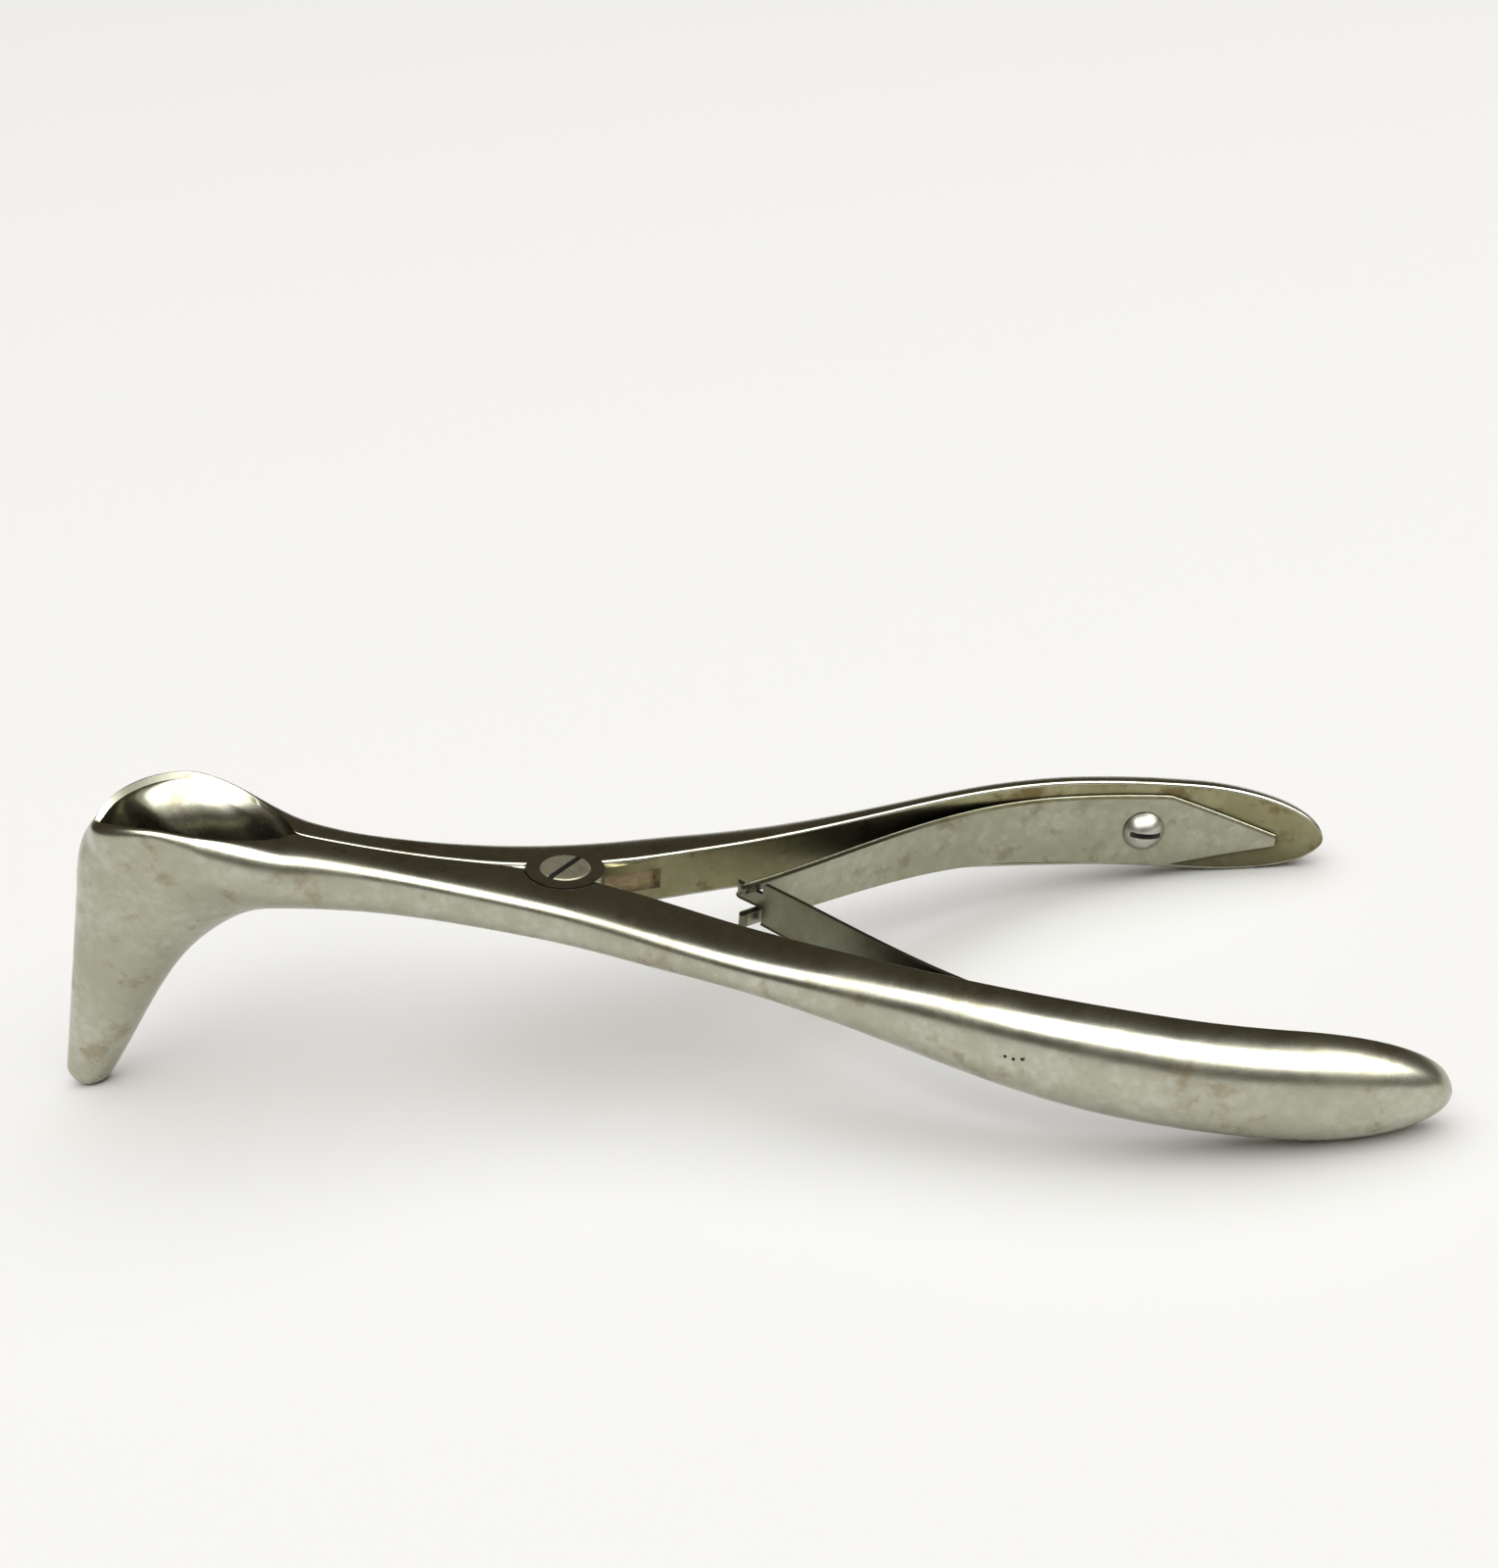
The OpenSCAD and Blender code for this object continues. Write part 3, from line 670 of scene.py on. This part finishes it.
def leaf_path(side, over):
    """Rows of (point, turn, width, sink) from the rear tip to past the crossing, for the near handle."""
    rows = [(face_at(t), -heading(t), leaf_taper(t), LEAF_SINK)
            for t in np.linspace(LEAF_END, SEAT_AT, SEAT_ROWS)]
    seat, turn = face_at(SEAT_AT), -heading(SEAT_AT)
    cross = np.array([CROSS_REACH, side])
    pull = np.linalg.norm(seat - cross) / 3
    a = seat - pull * np.array([cos_deg(turn), sin_deg(turn)])
    b = cross + pull * np.array([cos_deg(CROSS_SLOPE), -sin_deg(CROSS_SLOPE)])
    for t in np.linspace(0, 1, FREE_ROWS)[1:]:
        d = pull_curve(seat, a, b, cross, t - NUDGE) - pull_curve(seat, a, b, cross, t + NUDGE)
        width = LEAF_NECK + (SEAT_WIDTH - LEAF_NECK) * (1 - t) ** NECKING
        p = pull_curve(seat, a, b, cross, t)
        rows.append((p, math.degrees(math.atan2(d[1], d[0])), width, LEAF_SINK * (1 - t)))
    p, turn = cross, -CROSS_SLOPE
    for k in range(1, CURL_ROWS + 1):
        turn -= CURL / CURL_ROWS * 2 if k > CURL_ROWS / 2 else 0
        p = p - over / CURL_ROWS * np.array([cos_deg(turn), sin_deg(turn)])
        rows.append((p, turn, LEAF_NECK, 0))
    return rows


print("leaf widths at end, taper, seat and neck:", LEAF_TIP, LEAF_WIDTH, SEAT_WIDTH, LEAF_NECK, "mm")

# %% [markdown]
# ## From a path to a leaf
# A leaf is a strip with rounded edges that is drawn along its path. Behind the crossing the strip
# is whole. Past it, narrower strips go on as the finger or as the two prongs.

# %% Strips, and the two leaf springs
LEAF_ROUND, STEM, PRONG_SHARE, PRONG_START, LEAF_SHARP = 0.16, 1.2, 0.8, 0.2, 50


def strip_ring(p, turn, low, high):
    """One rounded oblong across the leaf, from height low to high and LEAF thick."""
    n = np.array([-sin_deg(turn), cos_deg(turn)])
    ring = []
    r = min(LEAF_ROUND, (high - low) / 2.2)
    for z, d, start in ((low + r, r, 180), (high - r, r, 90),
                        (high - r, LEAF - r, 0), (low + r, LEAF - r, -90)):
        for k in range(5):
            a = start - 90 * k / 4
            at = p + n * (d + r * cos_deg(a))
            ring.append([at[0], at[1], z + r * sin_deg(a)])
    return ring


def strip(name, rings, mirror):
    rings = mirrored(np.array(rings)) if mirror else np.array(rings)
    count, around = rings.shape[:2]
    faces = [(k * around + j, k * around + (j + 1) % around,
              (k + 1) * around + (j + 1) % around, (k + 1) * around + j)
             for k in range(count - 1) for j in range(around)]
    faces += [tuple(range(around)), tuple(range((count - 1) * around, count * around))]
    return mesh_object(name, to_frame(rings.reshape(-1, 3)), faces)


def joined(name, objects):
    """One object from several, each kept as its own closed skin."""
    first = objects[0]
    bm = bmesh.new()
    for o in objects:
        bm.from_mesh(o.data)
    mesh = bpy.data.meshes.new(name)
    bm.to_mesh(mesh)
    bm.free()
    first.data, first.name = mesh, name
    for o in objects[1:]:
        bpy.data.objects.remove(o)
    return first


def leaf_spring(name, side, bands, mirror):
    """A leaf that ends in one or more fingers, each a band of heights past the crossing."""
    rows = leaf_path(side, CROSS_OVER if len(bands) == 1 else CROSS_OVER * PRONG_SHARE)
    cross = np.array([CROSS_REACH, side])
    along = [np.dot(r[0] - cross, [cos_deg(CROSS_SLOPE), -sin_deg(CROSS_SLOPE)]) for r in rows]
    body = [r for r, a in zip(rows, along) if a > STEM]
    fingers = [r for r, a in zip(rows, along) if a <= STEM]
    pieces = [strip(name, [strip_ring(p, t, -w / 2 - s, w / 2 - s) for p, t, w, s in body], mirror)]
    for low, high in bands:
        lead = [strip_ring(body[-1][0], body[-1][1], low, high)]
        rest = [strip_ring(p, t, low, high) for p, t, w, s in fingers]
        pieces.append(strip(name, lead + rest, mirror))
    return shade(joined(name, pieces), LEAF_SHARP)


gap = FINGER_WIDTH / 2 + FINGER_PLAY
near_spring = leaf_spring("near_leaf", CROSS_SIDE,
                          [(FINGER_RISE - FINGER_WIDTH / 2, FINGER_RISE + FINGER_WIDTH / 2)], False)
far_spring = leaf_spring("far_leaf", -CROSS_SIDE,
                         [(-LEAF_NECK / 2, FINGER_RISE - gap), (FINGER_RISE + gap, LEAF_NECK / 2)], True)
mark(far_spring, 1, lambda p: p.x < CROSS_REACH - PRONG_START)
print("springs:", len(near_spring.data.polygons), "and", len(far_spring.data.polygons), "faces")

# %% [markdown]
# ## Tarnish, stains and fine scratches
# Old instruments are never one even grey. Tarnish lies in soft clouds, washing leaves brown stains
# with a sharper edge, and wiping leaves a haze of fine scratches. Each of these effects is a node
# group, built once, so every material can have its own amount of it.

# %% Node helpers


def node(tree, kind, at=(0, 0), **values):
    n = tree.nodes.new(kind)
    n.location = at
    for key, value in values.items():
        setattr(n, key, value)
    return n


def new_group(name, inputs, outputs):
    tree = bpy.data.node_groups.new(name, "ShaderNodeTree")
    for label, kind, value in inputs:
        s = tree.interface.new_socket(label, in_out="INPUT", socket_type=kind)
        if value is not None:
            s.default_value = value
    for label, kind in outputs:
        tree.interface.new_socket(label, in_out="OUTPUT", socket_type=kind)
    print(name, "takes", [i[0] for i in inputs], "and gives", [o[0] for o in outputs])
    return tree, node(tree, "NodeGroupInput", (-900, 0)), node(tree, "NodeGroupOutput", (900, 0))


def noise(tree, vector, scale, detail, rough, at):
    n = node(tree, "ShaderNodeTexNoise", at)
    n.inputs["Detail"].default_value = detail
    n.inputs["Roughness"].default_value = rough
    tree.links.new(vector, n.inputs["Vector"])
    if isinstance(scale, (int, float)):
        n.inputs["Scale"].default_value = scale
    else:
        tree.links.new(scale, n.inputs["Scale"])
    return n


def ranged(tree, value, low, high, at):
    """Turns a value between low and high into a soft mask from 0 to 1."""
    n = node(tree, "ShaderNodeMapRange", at, interpolation_type="SMOOTHSTEP")
    n.inputs["From Min"].default_value, n.inputs["From Max"].default_value = low, high
    tree.links.new(value, n.inputs["Value"])
    return n.outputs["Result"]


def times(tree, a, b, at, operation="MULTIPLY"):
    """Two values multiplied, or put together by another operation."""
    n = node(tree, "ShaderNodeMath", at, operation=operation)
    for socket, v in zip(n.inputs, (a, b)):
        if isinstance(v, (int, float)):
            socket.default_value = v
        else:
            tree.links.new(v, socket)
    return n.outputs[0]


def blended(tree, mask, a, b, at):
    """Colour a where the mask is 0 and colour b where it is 1."""
    n = node(tree, "ShaderNodeMix", at, data_type="RGBA")
    for socket, v in ((n.inputs[0], mask), (n.inputs[6], a), (n.inputs[7], b)):
        if isinstance(v, (int, float)):
            socket.default_value = v
        elif isinstance(v, tuple):
            socket.default_value = (*v, 1)
        else:
            tree.links.new(v, socket)
    return n.outputs[2]


# %% [markdown]
# ## Tarnish
# Tarnish is a film that grows in clouds. Over it lie blotches where water dried, a fine mottle and
# small spots whose edges are shaken by noise. The group gives each of them as a mask.

# %% Tarnish: soft clouds and the blotches that washing leaves
FINE_SCALE, SPOT_SCALE, SPOT_SMOOTH, WOBBLE = 700.0, 750.0, 0.3, 0.0025
tarnish_group, gi, go = new_group("tarnish clouds", [
    ("Vector", "NodeSocketVector", None), ("Cloud Scale", "NodeSocketFloat", 90.0),
    ("Blotch Scale", "NodeSocketFloat", 240.0), ("Shift", "NodeSocketVector", None)],
    [("Clouds", "NodeSocketFloat"), ("Blotches", "NodeSocketFloat"), ("Mottle", "NodeSocketFloat"),
     ("Spots", "NodeSocketFloat")])
moved = node(tarnish_group, "ShaderNodeVectorMath", (-700, 0), operation="ADD")
tarnish_group.links.new(gi.outputs["Vector"], moved.inputs[0])
tarnish_group.links.new(gi.outputs["Shift"], moved.inputs[1])
shifted = moved.outputs[0]
clouds = noise(tarnish_group, shifted, gi.outputs["Cloud Scale"], 5, 0.6, (-400, 250))
blotches = noise(tarnish_group, shifted, gi.outputs["Blotch Scale"], 6, 0.62, (-400, 0))
fine = noise(tarnish_group, shifted, FINE_SCALE, 4, 0.6, (-400, -250))
spots = node(tarnish_group, "ShaderNodeTexVoronoi", (-400, -500), feature="SMOOTH_F1")
spots.inputs["Scale"].default_value = SPOT_SCALE
spots.inputs["Smoothness"].default_value = SPOT_SMOOTH
wobble = node(tarnish_group, "ShaderNodeMix", (-600, -500), data_type="VECTOR")
wobble.inputs[0].default_value = WOBBLE
tarnish_group.links.new(shifted, wobble.inputs[4])
tarnish_group.links.new(fine.outputs["Color"], wobble.inputs[5])
tarnish_group.links.new(wobble.outputs[1], spots.inputs["Vector"])
masks_out = (("Spots", ranged(tarnish_group, spots.outputs["Distance"], 0.25, 0.75, (-100, -500))),
             ("Clouds", ranged(tarnish_group, clouds.outputs["Fac"], 0.36, 0.66, (-100, 250))),
             ("Blotches", ranged(tarnish_group, blotches.outputs["Fac"], 0.54, 0.68, (-100, 0))),
             ("Mottle", ranged(tarnish_group, fine.outputs["Fac"], 0.3, 0.7, (-100, -250))))
for label, socket in masks_out:
    tarnish_group.links.new(socket, go.inputs[label])

# %% [markdown]
# ## Polishing haze
# Polishing leaves fine grooves along one direction. Noise that is stretched along it gives their
# height, and each finish turns that height into relief.

# %% Polishing haze: fine grooves in the steel, drawn out along one direction
haze_group, gi, go = new_group("polishing haze", [
    ("Vector", "NodeSocketVector", None), ("Stretch", "NodeSocketVector", (1, 1, 1)),
    ("Scale", "NodeSocketFloat", 900.0)],
    [("Grooves", "NodeSocketFloat")])
drawn = node(haze_group, "ShaderNodeVectorMath", (-700, 0), operation="MULTIPLY")
haze_group.links.new(gi.outputs["Vector"], drawn.inputs[0])
haze_group.links.new(gi.outputs["Stretch"], drawn.inputs[1])
grooves = noise(haze_group, drawn.outputs[0], gi.outputs["Scale"], 3, 0.6, (-400, 0))
haze_group.links.new(grooves.outputs["Fac"], go.inputs["Grooves"])

# %% [markdown]
# ## The steel
# Satin stainless steel is a metal with a grey-green cast. Its colour and its roughness follow the
# same clouds of tarnish, because that is how a film on metal behaves: where it is thicker, the metal
# is browner and duller. Its fine relief comes from the polishing grooves. One function makes every
# steel finish of this instrument.

# %% One steel, with its own values for each finish
MOTTLING, SPOTTING, BRUSHED = 0.35, 0.4, (0.12, 1, 1)
# SHELTERED, IN_THE_OPEN and the near-black colour set the painted shade in crevices
SHELTERED, IN_THE_OPEN, CREVICE_SHADE_COLOUR = 0.25, 0.85, (0.02, 0.018, 0.012)
GROOVE_STRENGTH, GROOVE_DEPTH = 0.05, 0.1


def steel(name, clean, dull, stain, rough, rough_dull, shift=(0, 0, 0), clouds=0.6, stains=0.5,
          metal=1.0, crevice=None):
    """A finish whose film is dull and stained in places, with painted shade within crevice mm of a wall.
    """
    m = bpy.data.materials.new(name)
    m.use_nodes = True
    tree = m.node_tree
    shader = tree.nodes["Principled BSDF"]
    shader.inputs["Metallic"].default_value = metal
    coords = node(tree, "ShaderNodeTexCoord", (-1500, 0))
    film = node(tree, "ShaderNodeGroup", (-1200, 200))
    film.node_tree = tarnish_group
    film.inputs["Shift"].default_value = shift
    haze = node(tree, "ShaderNodeGroup", (-1200, -300))
    haze.node_tree = haze_group
    haze.inputs["Stretch"].default_value = BRUSHED
    for g in (film, haze):
        tree.links.new(coords.outputs["Object"], g.inputs["Vector"])
    cloud_mask = times(tree, film.outputs["Clouds"], clouds, (-900, 300))
    stain_mask = times(tree, film.outputs["Blotches"], stains, (-900, 100))
    grain = times(tree, film.outputs["Mottle"], MOTTLING, (-900, -50))
    spotted = times(tree, film.outputs["Spots"], SPOTTING, (-900, -200))
    colour = blended(tree, cloud_mask, clean, dull, (-700, 300))
    colour = blended(tree, grain, colour, dull, (-500, 300))
    colour = blended(tree, spotted, colour, dull, (-350, 300))
    colour = blended(tree, stain_mask, colour, stain, (-200, 300))
    # Painted shade: ambient occlusion darkens the colour towards near-black where walls close in
    if crevice:
        shelter = node(tree, "ShaderNodeAmbientOcclusion", (-500, 600), samples=8)
        shelter.inputs["Distance"].default_value = crevice * MM
        in_the_open = ranged(tree, shelter.outputs["AO"], SHELTERED, IN_THE_OPEN, (-300, 600))
        colour = blended(tree, in_the_open, CREVICE_SHADE_COLOUR, colour, (-100, 400))
    tree.links.new(colour, shader.inputs["Base Color"])
    dullness = times(tree, cloud_mask, stain_mask, (-600, 0), "MAXIMUM")
    roughness = node(tree, "ShaderNodeMapRange", (-300, 0))
    roughness.inputs["To Min"].default_value = rough
    roughness.inputs["To Max"].default_value = rough_dull
    tree.links.new(dullness, roughness.inputs["Value"])
    tree.links.new(roughness.outputs["Result"], shader.inputs["Roughness"])
    bump = node(tree, "ShaderNodeBump", (-300, -300))
    bump.inputs["Strength"].default_value = GROOVE_STRENGTH
    bump.inputs["Distance"].default_value = GROOVE_DEPTH * MM
    tree.links.new(haze.outputs["Grooves"], bump.inputs["Height"])
    tree.links.new(bump.outputs["Normal"], shader.inputs["Normal"])
    return m


def plain(name, colour, rough):
    m = bpy.data.materials.new(name)
    m.use_nodes = True
    shader = m.node_tree.nodes["Principled BSDF"]
    shader.inputs["Base Color"].default_value = (*colour, 1)
    shader.inputs["Roughness"].default_value = rough
    return m


# %% The finishes, each with its clean, dull and stained colour and its two roughnesses
# crevice is the reach in mm of a finish's painted shade in gaps, such as behind the leaf
arm_steel = steel(
    "satin arm steel", (0.53, 0.53, 0.45), (0.36, 0.355, 0.26), (0.24, 0.18, 0.09), 0.22, 0.36)
olive_steel = steel(
    "olive tarnished steel", (0.33, 0.32, 0.2), (0.24, 0.22, 0.11), (0.15, 0.1, 0.04), 0.28, 0.42,
    shift=(0.2, 0.1, 0), clouds=0.8, stains=0.8, crevice=14.0)
spring_steel = steel(
    "spring leaf steel", (0.38, 0.38, 0.3), (0.26, 0.26, 0.18), (0.15, 0.13, 0.07), 0.27, 0.42,
    shift=(0.3, 0, 0), crevice=7.0)
screw_steel = steel(
    "bright screw steel", (0.5, 0.49, 0.44), (0.36, 0.34, 0.28), (0.25, 0.2, 0.13), 0.34, 0.46,
    shift=(0, 0.4, 0), clouds=0.4, stains=0.3)
head_steel = steel(
    "worn screw head", (0.43, 0.42, 0.33), (0.27, 0.25, 0.17), (0.18, 0.14, 0.08), 0.4, 0.5,
    shift=(0.1, 0.4, 0), clouds=0.7, stains=0.6, metal=0.7)
# The saw cut's brown is a real stain, made darker as painted shade of the cut; its end wall stays bright
saw_cut_stain_and_shade = steel(
    "brown stain and painted shade", (0.27, 0.22, 0.15), (0.14, 0.1, 0.06), (0.05, 0.03, 0.02), 0.35, 0.5,
    clouds=0.8, stains=0.9)
dark_leaf_steel = steel(
    "dark leaf steel", (0.23, 0.235, 0.18), (0.16, 0.16, 0.1), (0.11, 0.1, 0.05), 0.3, 0.42,
    shift=(0.5, 0.2, 0), clouds=0.8, crevice=8.0)
# Near-black painted shade for the screw slots, the gap round the tongue and the pits
painted_recess_shade = plain("painted recess shade", (0.02, 0.016, 0.01), 0.75)
print("finishes that share the tarnish group:", tarnish_group.users)

# %% [markdown]
# ## Which piece goes with which body
# Everything rigid rides on its own arm. The springs are fixed to one arm and lean on each other at
# the crossing; here they ride on neither arm, and their place is baked into their meshes.

# %% Finishes, bodies and the CAD nodes that each piece stands for
finishes = (
    (near_arm, "near_arm", "near_half", (arm_steel, olive_steel, painted_recess_shade), "satin_steel"),
    (far_arm, "far_arm", "far_half", (arm_steel, olive_steel, saw_cut_stain_and_shade), "satin_steel"),
    (pivot_screw, "pivot_screw", "far_half", (head_steel, painted_recess_shade), "screw_steel"),
    (near_spring_screw, "near_spring_screw", "near_half", (screw_steel, painted_recess_shade), "screw_steel"),
    (far_spring_screw, "far_spring_screw", "far_half", (screw_steel, painted_recess_shade), "screw_steel"),
    (near_spring, "near_spring", None, (dark_leaf_steel,), "spring_steel"),
    (far_spring, "far_spring", None, (spring_steel, dark_leaf_steel), "spring_steel"),
)
for piece, cad_node, body, materials, slot in finishes:
    marks = [face.material_index for face in piece.data.polygons]
    piece.data.materials.clear()
    for material in materials:
        piece.data.materials.append(material)
    piece.data.polygons.foreach_set("material_index", marks)
    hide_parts(cad_node)
    if body:
        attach(piece, body)
    print(piece.name, "stands for", cad_node, "on", body or "both halves")

for piece, own, other, side in ((near_spring, "near_half", "far_half", 1),
                                (far_spring, "far_half", "near_half", -1)):
    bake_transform(piece)

# %% [markdown]
# ## Floor
# The floor is plain, pale and so wide that its far edge lies beyond any view of the instrument's
# surroundings.

# %% Floor
FLOOR = 60.0
floor_mesh = bpy.data.meshes.new("floor")
floor_mesh.from_pydata([(-FLOOR, -FLOOR, 0), (FLOOR, -FLOOR, 0), (FLOOR, FLOOR, 0), (-FLOOR, FLOOR, 0)],
                       [], [(0, 1, 2, 3)])
floor = bpy.data.objects.new("floor", floor_mesh)
bpy.context.scene.collection.objects.link(floor)
floor.data.materials.append(plain("pale paper", (0.8, 0.8, 0.79), 0.9))
print("floor:", 2 * FLOOR, "m wide")

# %% [markdown]
# ## Light
# Polished steel shows what stands around it. A wide softbox overhead is the white stripe along the
# shanks and handles, and a smaller one stands at the handles' side. Both are seen in reflections
# only. The floor is lit by soft daylight from a wide patch of sky, which the steel doesn't reflect.
# The room is dim and brown in reflections, so the level top faces turn deep brown, and pale where
# the camera looks straight at it.

# %% Softboxes, daylight and the room
SOFTBOXES = (("overhead softbox", (0.05, -0.66, 0.8), 1.4, 0.74, 17.0),
             ("side softbox", (0.72, -0.32, 0.66), 0.7, 0.6, 7.0))
DAYLIGHT, SKY_ANGLE = 3.4, 100
ROOM, BACKDROP = (0.07, 0.058, 0.038, 1), (0.84, 0.84, 0.82, 1)
for name, at, width, height, power in SOFTBOXES:
    panel = bpy.data.lights.new(name, "AREA")
    panel.shape, panel.size, panel.size_y, panel.energy = "RECTANGLE", width, height, power
    softbox = bpy.data.objects.new(name, panel)
    softbox.location = at
    softbox.rotation_euler = (-Vector(at)).to_track_quat("-Z", "Y").to_euler()
    softbox.visible_diffuse = False
    bpy.context.scene.collection.objects.link(softbox)
    print(name, width, "by", height, "m with", power, "W")
daylight = bpy.data.lights.new("soft daylight", "SUN")
daylight.energy, daylight.angle = DAYLIGHT, math.radians(SKY_ANGLE)
wash = bpy.data.objects.new("soft daylight", daylight)
wash.visible_glossy = False
bpy.context.scene.collection.objects.link(wash)
world = bpy.data.worlds.new("dim studio")
world.use_nodes = True
room = world.node_tree.nodes["Background"]
room.inputs["Color"].default_value = ROOM
backdrop = node(world.node_tree, "ShaderNodeBackground", (0, -200))
backdrop.inputs["Color"].default_value = BACKDROP
seen = node(world.node_tree, "ShaderNodeLightPath", (0, 400))
either = node(world.node_tree, "ShaderNodeMixShader", (300, 200))
for a, b in ((seen.outputs["Is Camera Ray"], either.inputs[0]), (room.outputs[0], either.inputs[1]),
             (backdrop.outputs[0], either.inputs[2]),
             (either.outputs[0], world.node_tree.nodes["World Output"].inputs["Surface"])):
    world.node_tree.links.new(a, b)
bpy.context.scene.world = world
bpy.context.scene.view_settings.view_transform = "Standard"

# %% [markdown]
# ## Camera
# The camera was fitted in the level space of the instrument: three angles, a distance from the
# screw, and where the screw's head lies in the picture. The lean then takes it into the frame.

# %% Camera at the photograph's angle
AZIMUTH, ELEVATION, ROLL, DISTANCE = 0.56, 26.27, 3.65, 205.0
IMAGE_HEIGHT, FOCAL_PIXELS, PIXELS_PER_MM, SENSOR = 1600, 1886.0, 9.2, 36
PIVOT_FROM_MIDDLE = (187.5, 85.6)
a, e, r = (math.radians(v) for v in (AZIMUTH, ELEVATION, ROLL))
back = Vector((math.sin(a) * math.cos(e), -math.cos(a) * math.cos(e), math.sin(e)))
right = Vector((math.cos(a), math.sin(a), 0))
up = back.cross(right)
cam_right = right * math.cos(r) + up * math.sin(r)
cam_up = up * math.cos(r) - right * math.sin(r)
eye = (Vector((0, 0, JOINT_TOP)) + back * DISTANCE + cam_right * (PIVOT_FROM_MIDDLE[0] / PIXELS_PER_MM)
       + cam_up * (PIVOT_FROM_MIDDLE[1] / PIXELS_PER_MM))
camera_data = bpy.data.cameras.new("camera")
camera_data.sensor_width = SENSOR
camera_data.lens = SENSOR * FOCAL_PIXELS / IMAGE_HEIGHT
camera_data.clip_start = 0.005
camera = bpy.data.objects.new("camera", camera_data)
turned = Matrix.Rotation(lean, 3, "Y") @ Matrix((cam_right, cam_up, back)).transposed()
camera.matrix_world = Matrix.Translation(stand @ eye) @ turned.to_4x4()
bpy.context.scene.collection.objects.link(camera)
bpy.context.scene.camera = camera
print("camera lens:", round(camera_data.lens, 1), "mm")
